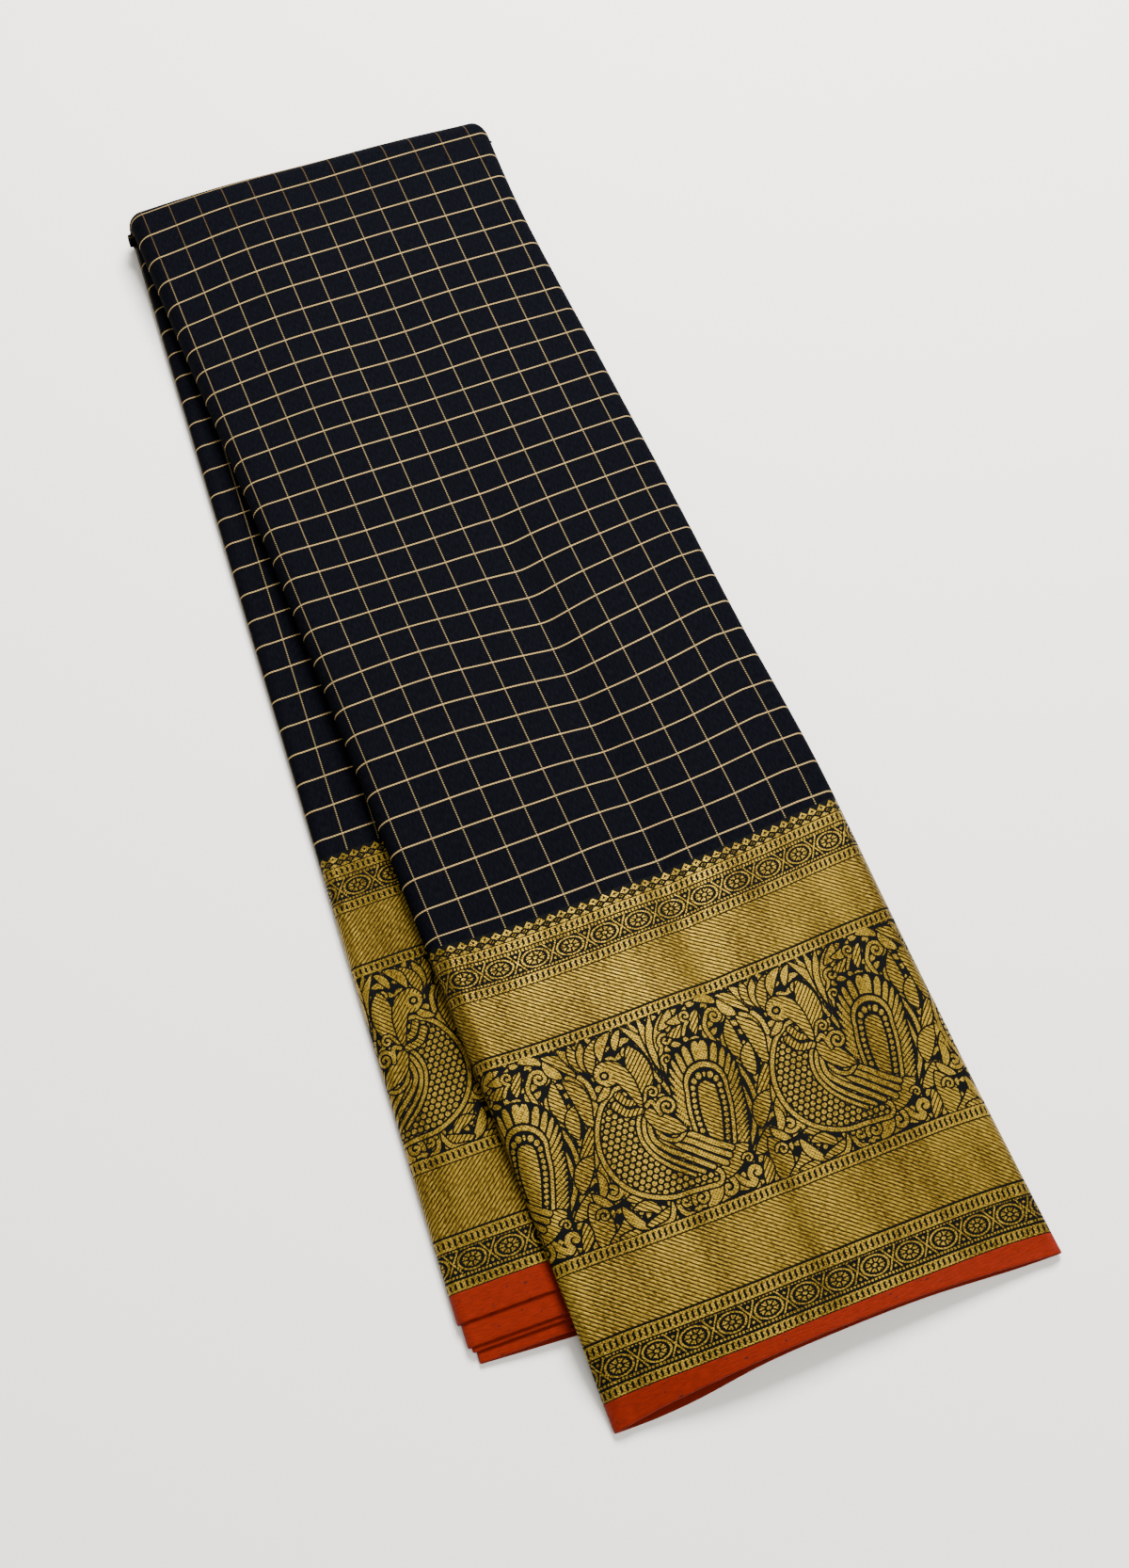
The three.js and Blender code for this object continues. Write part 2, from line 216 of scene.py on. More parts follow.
class Half:
    """One half of the pack: the form of its outer cloth, in its own axes a (across) and b (along)."""

    round: RoundOver

    def left(self, b: Array) -> Array:
        """The left side fold's outermost line."""
        raise NotImplementedError

    def right(self, b: Array) -> Array:
        """The right side fold's outermost line."""
        raise NotImplementedError

    def top(self, a: Array, b: Array) -> Array:
        """Height of the top."""
        raise NotImplementedError

    def bottom(self, a: Array, b: Array) -> Array:
        """Height of the underside."""
        raise NotImplementedError

    def place(self, a: Array, b: Array) -> tuple[Array, Array]:
        """The tables' x and y of a place."""
        raise NotImplementedError

    def relief(self, a: Array, b: Array) -> Array:
        """Small creases of the top, mm."""
        raise NotImplementedError

    def far_line(self, f: Array) -> Array:
        """b of the far fold's line at shares of the width."""
        raise NotImplementedError

    def teeth_line(self, f: Array) -> Array:
        """b of the tips of the border's teeth."""
        raise NotImplementedError

    def selvedge_line(self, f: Array) -> Array:
        """b of the line between border and selvedge."""
        raise NotImplementedError

    def edge_line(self, f: Array) -> Array:
        """b of the near edge."""
        raise NotImplementedError

    def at(self, f: Array, b: Array) -> Array:
        """a of the places at shares of the width."""
        left = self.left(b)
        return left + (self.right(b) - left) * f

    def surface(self, ring: Ring, b: Array, inset: float = 0.0, drop: float | Array = 0.0) -> Array:
        """The cloth's surface, or the one that lies inset mm inside it.

        Across the half it is the top and the underside, brought together at each side by a quarter circle up
        and one down, as high as the half is thick there.

        Args:
            ring: The places round the tube.
            b: For each row and place, how far along the half it lies.
            inset: Depth under the outer surface, mm.
            drop: How far the underside of an inset surface is let down again, mm.

        Returns:
            Points in metres, rows by places by 3.
        """
        thinnest = 0.2
        a0 = self.left(b) + inset
        a1 = self.right(b) - inset
        a = a0 + (a1 - a0) * ring.f
        rise = arc((a - a0) / (self.round.left - inset)) * arc((a1 - a) / (self.round.right - inset))
        high = self.top(a, b) - inset + self.relief(a, b)
        low = self.bottom(a, b) + inset - drop
        middle = low + (high - low) * self.round.belly
        up = np.maximum(thinnest, high - middle) * rise
        down = np.maximum(thinnest, middle - low) * rise
        x, y = self.place(a, b)
        z = np.where(ring.over, middle + up, middle - down)
        return np.stack([x - CENTRE[0], y - CENTRE[1], z], axis=-1) * MM


class LowerHalf(Half):
    """The half underneath: b runs from the far fold towards the near end, a from its left edge."""

    PIVOT = (-6.5, 397.4)
    TURN = 0.0713  # radians from the upper half
    RIGHT = 187.0
    FAR = -7.3  # b of the far fold at the right
    TEETH = 351.7
    ROWS = 343.6  # b of the last check row above the border
    FIRST_LINE = 1.3  # how far the first lengthwise line lies beyond the left edge
    STRIP = {"to": 60.0, "fade": 30.0}  # the stretch across that shows and is rippled
    RIPPLE = {"height": 0.16, "seed": 5, "size": 46.0}
    # b of the stepped edges
    STEPS = {"first": 554.5, "second": 564.0, "third": 566.0, "fourth": 570.5}
    TOP = (  # height of the top at each of ACROSS
        # b, edge, slope, flat, right
        (0, 12.0, 13.0, 13.4, 12.8),
        (60, 8.6, 10.6, 12.5, 11.6),
        (200, 7.8, 9.8, 12.0, 11.0),
        (400, 7.6, 9.6, 11.8, 10.4),
        (520, 7.4, 9.4, 11.4, 9.6),
        (575, 7.0, 8.8, 10.4, 8.8),
    )
    ACROSS = (7, 22, 45, 178)
    LEVELS = lines(TOP)
    round = RoundOver(5.5, 6.0, 0.42)

    def left(self, b: Array) -> Array:
        """The left edge is straight."""
        return np.zeros_like(b)

    def right(self, b: Array) -> Array:
        """The right edge is straight."""
        return np.full_like(b, self.RIGHT)

    def top(self, a: Array, b: Array) -> Array:
        """Height from the table, as a cubic across the half at each b."""
        return curve(self.ACROSS, np.stack([level(b) for level in self.LEVELS]), a)

    def bottom(self, a: Array, b: Array) -> Array:
        """The underside is flat on the floor."""
        return np.zeros_like(b)

    def relief(self, a: Array, b: Array) -> Array:
        """Faint ripples along the strip that shows."""
        shown = ease((self.STRIP["to"] - a) / self.STRIP["fade"])
        return self.RIPPLE["height"] * ripple(a, b, self.RIPPLE["seed"], self.RIPPLE["size"]) * shown

    def place(self, a: Array, b: Array) -> tuple[Array, Array]:
        """The half is turned about its far left corner."""
        cos, sin = np.cos(self.TURN), np.sin(self.TURN)
        return self.PIVOT[0] + a * cos - b * sin, self.PIVOT[1] - a * sin - b * cos

    def axes(self, x: Array, y: Array) -> tuple[Array, Array]:
        """a and b of a place in the tables' axes."""
        cos, sin = np.cos(self.TURN), np.sin(self.TURN)
        dx, dy = x - self.PIVOT[0], y - self.PIVOT[1]
        return dx * cos - dy * sin, -dx * sin - dy * cos

    def far_line(self, f: Array) -> Array:
        """The far fold, turned from square."""
        return self.FAR * f

    def teeth_line(self, f: Array) -> Array:
        """The teeth, straight across."""
        return np.full_like(f, self.TEETH)

    def selvedge_line(self, f: Array) -> Array:
        """The selvedge's line, straight across."""
        return np.full_like(f, self.TEETH + BORDER)

    def edge_line(self, f: Array) -> Array:
        """Where the outermost selvedge would end at its full width."""
        return self.selvedge_line(f) + SELVEDGE


class UpperHalf(Half):
    """The half on top: a is x and b is y of the tables."""

    FOLD = (397.4, 391.4)
    TEETH = -13.2
    NEAR = {"y": -204.0, "bow": 9.6, "straight_at": 0.2}
    TOP = (  # height of the top at each of ACROSS
        # y, left, inner, mid, outer, right
        (397, 25.0, 27.5, 27.5, 27.5, 27.0),
        (344, 22.6, 26.0, 26.0, 26.0, 25.0),
        (287, 21.6, 24.2, 23.2, 23.6, 22.6),
        (230, 22.5, 24.4, 23.4, 23.4, 22.6),
        (172, 23.0, 23.2, 22.2, 23.2, 22.8),
        (115, 23.4, 24.4, 22.2, 24.0, 22.8),
        (57, 23.8, 25.0, 23.4, 24.0, 22.2),
        (0, 24.2, 25.4, 24.6, 23.8, 20.8),
        (-60, 23.4, 24.6, 23.6, 21.6, 17.4),
        (-120, 21.4, 22.6, 21.4, 18.6, 13.4),
        (-170, 17.4, 19.6, 18.8, 15.4, 9.6),
        (-195, 11.0, 16.4, 16.2, 12.8, 7.2),
        (-217, 4.4, 13.2, 13.6, 10.6, 5.2),
    )
    ACROSS = (4, 45, 90, 135, 178)
    EDGES = (  # x of the two side folds
        # y, left, right
        (398, -5.4, 184.8),
        (343, -4.6, 182.3),
        (258, -3.2, 184.0),
        (173, -2.6, 185.4),
        (88, -3.1, 185.8),
        (7, -3.8, 188.0),
        (-73, -4.2, 187.0),
        (-154, -4.8, 186.4),
        (-225, -5.2, 187.2),
    )
    FOLDS = (
        {"x": 100, "lean": 0.012, "from": 205, "to": -240, "rise": -1.7, "width": 8},
        {"x": 76, "lean": 0.02, "from": 190, "to": -120, "rise": 0.7, "width": 9},
        {"x": 128, "lean": -0.03, "from": 150, "to": -90, "rise": 0.6, "width": 11},
    )
    FOLD_ENDS = 60.0  # length over which a long fold starts and ends
    DRAPE = {"side_from": 185.0, "side": 34.0, "end_from": 574.0, "end": 32.0}
    REST = 0.3  # height of the underside over the lower half
    PUCKERS = {"height": 0.2, "seed": 2, "size": 62.0}
    SIDE_PUCKERS = {"height": 0.16, "seed": 3, "size": 24.0, "left": 22.0, "right": 18.0, "right_at": 183.0}
    STRETCH = 0.35  # how much longer the side puckers are across than along
    SPAN = {"from": -4.0, "width": 192.0}  # x of the two edges in the table of sags
    LEVELS = lines(TOP)
    SAG = (  # how far the teeth and the border's foot sag, the edge rises and its lower lip sticks out
        # x, teeth, foot, edge, lip
        (-4, 1.5, 0.2, 0.0, 0.0),
        (14, 4.0, 0.8, 1.2, 2.4),
        (32, 5.4, 2.0, 1.6, 2.6),
        (60, 6.2, 3.2, 2.0, 0.9),
        (90, 6.2, 3.3, 2.2, 0.6),
        (130, 5.3, 3.0, 1.9, 0.5),
        (168, 2.0, 2.4, 0.4, 0.7),
        (188, 0.6, 3.0, -0.4, 0.0),
    )
    LEFT, RIGHT = map(staticmethod, lines(EDGES))
    TEETH_SAG, FOOT_SAG, EDGE_RISE, LIP_OUT = map(staticmethod, lines(SAG))
    round = RoundOver(8.0, 6.5, 0.4)

    def __init__(self, under: LowerHalf) -> None:
        """The half lies on another one."""
        self.under = under

    def left(self, b: Array) -> Array:
        """The left side fold, from the table."""
        return self.LEFT(b)

    def right(self, b: Array) -> Array:
        """The right side fold, from the table."""
        return self.RIGHT(b)

    def top(self, a: Array, b: Array) -> Array:
        """Height from the table, with the long soft folds on it, each a bell across its leaning line."""
        height = curve(self.ACROSS, np.stack([level(b) for level in self.LEVELS]), a)
        for fold in self.FOLDS:
            off = (a - fold["x"] - fold["lean"] * b) / fold["width"]
            along = ease((fold["from"] - b) / self.FOLD_ENDS) * ease((b - fold["to"]) / self.FOLD_ENDS)
            height = height + fold["rise"] * along * np.exp(-(off**2))
        return height

    def bottom(self, a: Array, b: Array) -> Array:
        """The underside lies on the lower half and comes down to the floor past it."""
        across, along = self.under.axes(a, b)
        side = 1 - ease((across - self.DRAPE["side_from"]) / self.DRAPE["side"])
        end = 1 - ease((along - self.DRAPE["end_from"]) / self.DRAPE["end"])
        return (self.under.top(across, along) + self.REST) * side * end

    def relief(self, a: Array, b: Array) -> Array:
        """Soft puckers: broad ones all over and finer ones towards the side folds."""
        broad, fine = self.PUCKERS, self.SIDE_PUCKERS
        edge = np.exp(-((a / fine["left"]) ** 2)) + np.exp(-(((a - fine["right_at"]) / fine["right"]) ** 2))
        all_over = broad["height"] * ripple(a, b, broad["seed"], broad["size"])
        return all_over + fine["height"] * edge * ripple(a * self.STRETCH, b, fine["seed"], fine["size"])

    def place(self, a: Array, b: Array) -> tuple[Array, Array]:
        """The half lies square to the tables."""
        return a, b

    def far_line(self, f: Array) -> Array:
        """The far fold, a little slanted."""
        return self.FOLD[0] + (self.FOLD[1] - self.FOLD[0]) * f

    def sag_x(self, f: Array) -> Array:
        """x of shares of the width, for the table of sags."""
        return self.SPAN["width"] * f + self.SPAN["from"]

    def teeth_line(self, f: Array) -> Array:
        """The teeth, which sag towards the near end in the middle."""
        return self.TEETH - self.TEETH_SAG(self.sag_x(f))

    def edge_line(self, f: Array) -> Array:
        """The near edge, bowed towards the near end at the right as a parabola."""
        return self.NEAR["y"] - SELVEDGE - self.NEAR["bow"] * (f - self.NEAR["straight_at"]) ** 2

    def selvedge_line(self, f: Array) -> Array:
        """The near edge's line, a selvedge further in and sagging by the table."""
        return self.edge_line(f) + SELVEDGE - self.FOOT_SAG(self.sag_x(f))


# Meshes


@dataclass
class Sheet:
    """A grid of cloth, row by row.

    Attributes:
        points: Places in metres.
        weave: The position of each in the weave, mm.
        closed: Whether each row's last place lies on its first.
        looped: Whether the last row lies on the first.
        marks: Further numbers for each place, by name.
    """

    points: Array
    weave: Array
    closed: bool = False
    looped: bool = False
    marks: dict[str, Array] = field(default_factory=dict)

    def build(self, name: str) -> bpy.types.Object:
        """The mesh, with quads between the grid's rows and places, its weave map and its marks.

        The faces look away from the grid's middle, by the sum of each one's normal with the way out to it.

        Args:
            name: The object's name.

        Returns:
            The object.
        """
        rows, count = self.points.shape[:2]
        used = count - 1 if self.closed else count
        kept = rows - 1 if self.looped else rows
        vertices = self.points[:kept, :used].reshape(-1, 3)
        i, j = np.meshgrid(np.arange(rows - 1), np.arange(count - 1), indexing="ij")
        corners = [(i, j), (i, j + 1), (i + 1, j + 1), (i + 1, j)]
        quads = np.stack([(r % kept * used + c % used).ravel() for r, c in corners], axis=1)
        spots = np.stack([(r * count + c).ravel() for r, c in corners], axis=1)
        middle = vertices.mean(axis=0)
        p, q, s = (vertices[quads[:, k]] for k in (0, 1, 2))
        facing = (np.cross(q - p, s - p) * ((p + s) / 2 - middle)).sum()
        if facing < 0:
            quads = quads[:, ::-1]
            spots = spots[:, ::-1]
        mesh = bpy.data.meshes.new(name)
        mesh.vertices.add(len(vertices))
        mesh.vertices.foreach_set("co", vertices.astype(np.float32).ravel())
        mesh.loops.add(quads.size)
        mesh.loops.foreach_set("vertex_index", quads.astype(np.int32).ravel())
        mesh.polygons.add(len(quads))
        mesh.polygons.foreach_set("loop_start", np.arange(0, quads.size, 4, dtype=np.int32))
        mesh.polygons.foreach_set("use_smooth", np.ones(len(quads), bool))
        mesh.update(calc_edges=True)
        layer = mesh.uv_layers.new(name="weave")
        layer.data.foreach_set("uv", self.weave.reshape(-1, 2)[spots.ravel()].astype(np.float32).ravel())
        for mark, values in self.marks.items():
            attribute = mesh.attributes.new(mark, "FLOAT", "POINT")
            attribute.data.foreach_set("value", values[:kept, :used].astype(np.float32).ravel())
        mesh.validate()
        if self.looped and not self.closed:
            shell = bmesh.new()
            shell.from_mesh(mesh)
            bmesh.ops.remove_doubles(shell, verts=shell.verts, dist=JOINED)
            shell.to_mesh(mesh)
            shell.free()
        piece = bpy.data.objects.new(name, mesh)
        bpy.context.scene.collection.objects.link(piece)
        return piece


def declare(piece: bpy.types.Object, finish: bpy.types.Material, node: str) -> None:
    """Give a piece its finish; it rides on the part in its node's place.

    Args:
        piece: The finished object.
        finish: Its material.
        node: The CAD node that it stands for.
    """
    piece.data.materials.append(finish)
    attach(piece, "root")
    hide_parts(node)


def across_length(points: Array, start: int, first: Array) -> Array:
    """Length of cloth across each row, mm, equal to first at the place numbered start.

    Args:
        points: The grid, metres.
        start: The place where the length is known.
        first: The length there, for each row.

    Returns:
        The length at every place, the sum of the straight steps from start.
    """
    steps = np.linalg.norm(np.diff(points, axis=1), axis=2) / MM
    run = np.concatenate([np.zeros((len(points), 1)), np.cumsum(steps, axis=1)], axis=1)
    return run - run[:, start : start + 1] + first[:, None]


def spread(start: Array, end: Array, shares: Array) -> Array:
    """Lines between two lines: a row for each share of the way."""
    return start[None, :] + (end - start)[None, :] * shares[:, None]


# Ornament


class Pattern(Enum):
    """The border's patterns."""

    TEETH = "teeth"
    CHAIN = "chain"
    BEADS = "beads"
    ROSETTES = "rosettes"
    LINE = "line"
    TWILL = "twill"
    BIRDS = "birds"


@dataclass(frozen=True)
class Band:
    """One woven band of the border: its pattern, height and how finely its mesh must be divided, mm."""

    pattern: Pattern
    height: float
    step: float


FINE = 0.34  # spacing of the mesh rows where figures show
BANDS = (
    Band(Pattern.TEETH, 6.2, FINE),
    Band(Pattern.CHAIN, 4.7, FINE),
    Band(Pattern.BEADS, 1.6, FINE),
    Band(Pattern.ROSETTES, 8.6, FINE),
    Band(Pattern.BEADS, 1.3, FINE),
    Band(Pattern.CHAIN, 4.9, FINE),
    Band(Pattern.LINE, 0.4, FINE),
    Band(Pattern.TWILL, 24.0, 2.4),
    Band(Pattern.LINE, 0.4, FINE),
    Band(Pattern.CHAIN, 4.9, FINE),
    Band(Pattern.BIRDS, 80.9, 0.42),
    Band(Pattern.CHAIN, 5.5, FINE),
    Band(Pattern.LINE, 0.4, FINE),
    Band(Pattern.TWILL, 26.4, 2.4),
    Band(Pattern.LINE, 0.4, FINE),
    Band(Pattern.CHAIN, 5.5, FINE),
    Band(Pattern.BEADS, 1.0, FINE),
    Band(Pattern.ROSETTES, 8.6, FINE),
    Band(Pattern.BEADS, 1.3, FINE),
    Band(Pattern.LINE, 0.4, FINE),
    Band(Pattern.CHAIN, 4.6, FINE),
)
ROSETTE = 15.37  # pitch of the rosettes; the birds repeat at five of them
BIRD = 5 * ROSETTE
TOOTH = BIRD / 16
DASH = BIRD / 32
BEAD = BIRD / 50
BLACK = -0.6  # depth inside gold thread that stands for the dark ground
GOLD = 0.6  # and for plain gold
DARK_LINE = 0.2  # half width of a dark line between two bands
ANYWHERE = 9.0  # a depth that no figure reaches


def repeat(u: Array, pitch: float, phase: float = 0.0) -> Array:
    """Distance from the nearest repeat's centre line, signed."""
    return (u - phase + pitch / 2) % pitch - pitch / 2


def teeth(u: Array, v: Array) -> Array:
    """Pointed teeth over a row of lozenges: how far each place lies inside gold thread, mm.

    A tooth is a wedge with a dark dot in it. A lozenge is where across / half width + down / half height is
    under 1; its outline and its heart are dark.
    """
    slope, tip, steep = 0.95, 0.5, 0.7
    dot_down, dot = 2.4, 0.5
    half_wide, half_high, middle = 2.0, 1.25, 4.3
    outline, heart, teeth_to = 0.3, 0.36, 3.1
    x = repeat(u, TOOTH)
    tooth = np.minimum((v - tip - np.abs(x) * slope) * steep, np.hypot(x, v - dot_down) - dot)
    lozenge = np.abs(repeat(u, TOOTH, TOOTH / 2)) / half_wide + np.abs(v - middle) / half_high
    braid = np.minimum(np.abs(lozenge - 1) * 0.9 - outline, lozenge * 1.1 - heart)
    return np.where(v < teeth_to, tooth, braid)


def chain(u: Array, v: Array, height: float) -> Array:
    """A gold band between dark lines, with a row of short dashes, each leaning and bent like a flat S."""
    half_long, half_wide = 0.26 * height, 0.46
    lean, bend, turns = 0.5, 0.3, 2.4
    low = (v - height / 2) / half_long
    x = repeat(u + lean * low - bend * np.sin(turns * low), DASH) / half_wide
    dash = (np.maximum(np.abs(x), np.abs(low)) - 1) * half_wide
    return np.minimum(dash, np.minimum(v, height - v) - 0.3)


def beads(u: Array, v: Array, height: float) -> Array:
    """A row of small squares between two dark lines."""
    beside, above = 0.2, 0.16
    across = BEAD / 2 - beside - np.abs(repeat(u, BEAD))
    return np.minimum(across, height / 2 - above - np.abs(v - height / 2))


def rosettes(u: Array, v: Array, height: float, first: float) -> Array:
    """Oval flowers in oval rings, with crossing bars and small squares between them.

    The ring and the flower are ellipses. The flower's edge swells four times round each half turn, dark veins
    run between its petals, and a dark ring divides them from its heart.
    """
    ring_wide, ring_high, ring_at, ring_half = 6.3, 4.15, 0.9, 0.085
    wide, high, heart_at = 4.4, 2.9, 0.32
    x = repeat(u, ROSETTE, first)
    y = v - height / 2
    oval = np.hypot(x / ring_wide, y / ring_high)
    ring = (ring_half - np.abs(oval - ring_at)) * 4.6
    angle = np.arctan2(y / high, x / wide)
    flower = np.hypot(x / wide, y / high)
    petal = (0.82 + 0.16 * np.abs(np.cos(4 * angle)) - flower) * 3.2
    veins = np.abs(np.sin(4 * angle)) * flower * 0.85 - 0.22
    heart = np.abs(flower - heart_at) * 3.4 - 0.26
    petal = np.minimum(petal, np.where(flower > heart_at, np.minimum(veins, heart), heart))
    side = np.abs(repeat(u, ROSETTE, first + ROSETTE / 2))
    bars = 0.42 - np.abs(side * 0.95 - np.abs(y) * 0.62)
    square = 0.8 - (side + np.abs(np.abs(y) - 3.0))
    pip = 0.5 - (np.abs(side - 1.9) + np.abs(y))
    outside = np.minimum(np.maximum(np.maximum(bars, square), pip), (oval - 1.05) * 4)
    return np.maximum(np.maximum(ring, petal), outside)


OUTLINE = 0.29  # half of the dark outline between two figures
BIRD_PHASE = 8.5  # where the bird repeat starts on the upper half
REACHED = 1.0  # how far round a figure its places are worked out
Points = Sequence[tuple[float, float]]


def smooth(points: Sequence[Sequence[float]], count: int = 6) -> Array:
    """A curve through points: cubics whose slope at a point is that of the chord between its neighbours.

    Args:
        points: The points, each with any further numbers that change along the curve.
        count: Steps between two points.

    Returns:
        The curve's places, one row each.
    """
    p = np.asarray(points, float)
    ends = np.concatenate([[2 * p[0] - p[1]], p, [2 * p[-1] - p[-2]]])
    t = np.linspace(0, 1, count, endpoint=False)[:, None, None]
    a, b, c, d = ends[:-3], ends[1:-2], ends[2:-1], ends[3:]
    bend = (2 * a - 5 * b + 4 * c - d) * t**2 + (3 * b - a - 3 * c + d) * t**3
    places = 0.5 * (2 * b + (c - a) * t + bend)
    return np.concatenate([places.transpose(1, 0, 2).reshape(-1, p.shape[1]), p[-1:]])


@dataclass
class Reach:
    """Where places lie from a swept line, mm: outside its edge and along it."""

    outside: Array
    along: Array


def sweep(x: Array, y: Array, path: Array) -> Reach:
    """Distances from the shape that a disc sweeps along a path.

    On each straight step of the path the nearest place is the foot of the perpendicular, held to the step's
    ends. The gap is the distance to it less the radius there, and the smallest over all steps counts.

    Args:
        x: Places across, mm.
        y: Places down, mm.
        path: Rows of x, y and the disc's radius.

    Returns:
        The places' reach.
    """
    step = np.diff(path, axis=0)
    shortest = 1e-6
    length = np.maximum(np.hypot(step[:, 0], step[:, 1]), shortest)
    run = np.concatenate([[0], np.cumsum(length)])[:-1]
    dx, dy = x[:, None] - path[:-1, 0], y[:, None] - path[:-1, 1]
    t = np.clip((dx * step[:, 0] + dy * step[:, 1]) / length**2, 0, 1)
    spine = np.hypot(dx - t * step[:, 0], dy - t * step[:, 1])
    gap = spine - (path[:-1, 2] + t * step[:, 2])
    row = np.arange(len(x))
    nearest = np.argmin(gap, axis=1)
    beside = np.argmin(spine, axis=1)
    return Reach(gap[row, nearest], (run + t * length)[row, beside])


@dataclass(frozen=True)
class Leaf:
    """A leaf from its stalk to its tip, bent aside; hatch slants its fine lines."""

    stalk: tuple[float, float]
    tip: tuple[float, float]
    width: float
    bend: float = 0.0
    hatch: float = 1.0

    def path(self) -> Array:
        """The leaf's spine, bent like half a sine wave, and its half widths, as one too but fuller."""
        places, blunt, fullness = 13, 0.03, 0.6
        start, end = np.array(self.stalk), np.array(self.tip)
        t = np.linspace(0, 1, places)
        side = np.array([start[1] - end[1], end[0] - start[0]])
        spine = start + (end - start) * t[:, None] + side * self.bend * np.sin(np.pi * t)[:, None]
        half = self.width / 2 * np.sin(np.pi * np.clip(t, blunt, 1 - blunt)) ** fullness
        return np.column_stack([spine, half])


@dataclass(frozen=True)
class Stem:
    """A stem through points, from one width to another."""

    points: Points
    width: float
    end: float
    hatch: float = 0.0

    def path(self) -> Array:
        """The stem's line and half widths."""
        line = smooth(self.points)
        return np.column_stack([line, np.linspace(self.width / 2, self.end / 2, len(line))])


@dataclass(frozen=True)
class Curl:
    """A scroll that winds in to its heart, from the end of a stalk."""

    heart: tuple[float, float]
    radius: float
    start: float
    turns: float
    width: float
    stalk: Points = ()
    hatch: float = 0.0

    def path(self) -> Array:
        """The scroll's line, a spiral that winds in evenly, and its half widths."""
        places_a_turn, wound_in, end_width = 14, 0.84, 0.4
        t = np.linspace(0, 1, int(places_a_turn * abs(self.turns)) + 2)
        angle = np.radians(self.start) + 2 * np.pi * self.turns * t
        reach = self.radius * (1 - wound_in * t)
        wind = np.column_stack([reach * np.cos(angle), reach * np.sin(angle)]) + self.heart
        if self.stalk:
            wind = np.concatenate([smooth([*self.stalk, tuple(wind[0])])[:-1], wind])
        return np.column_stack([wind, np.linspace(self.width / 2, self.width * end_width, len(wind))])


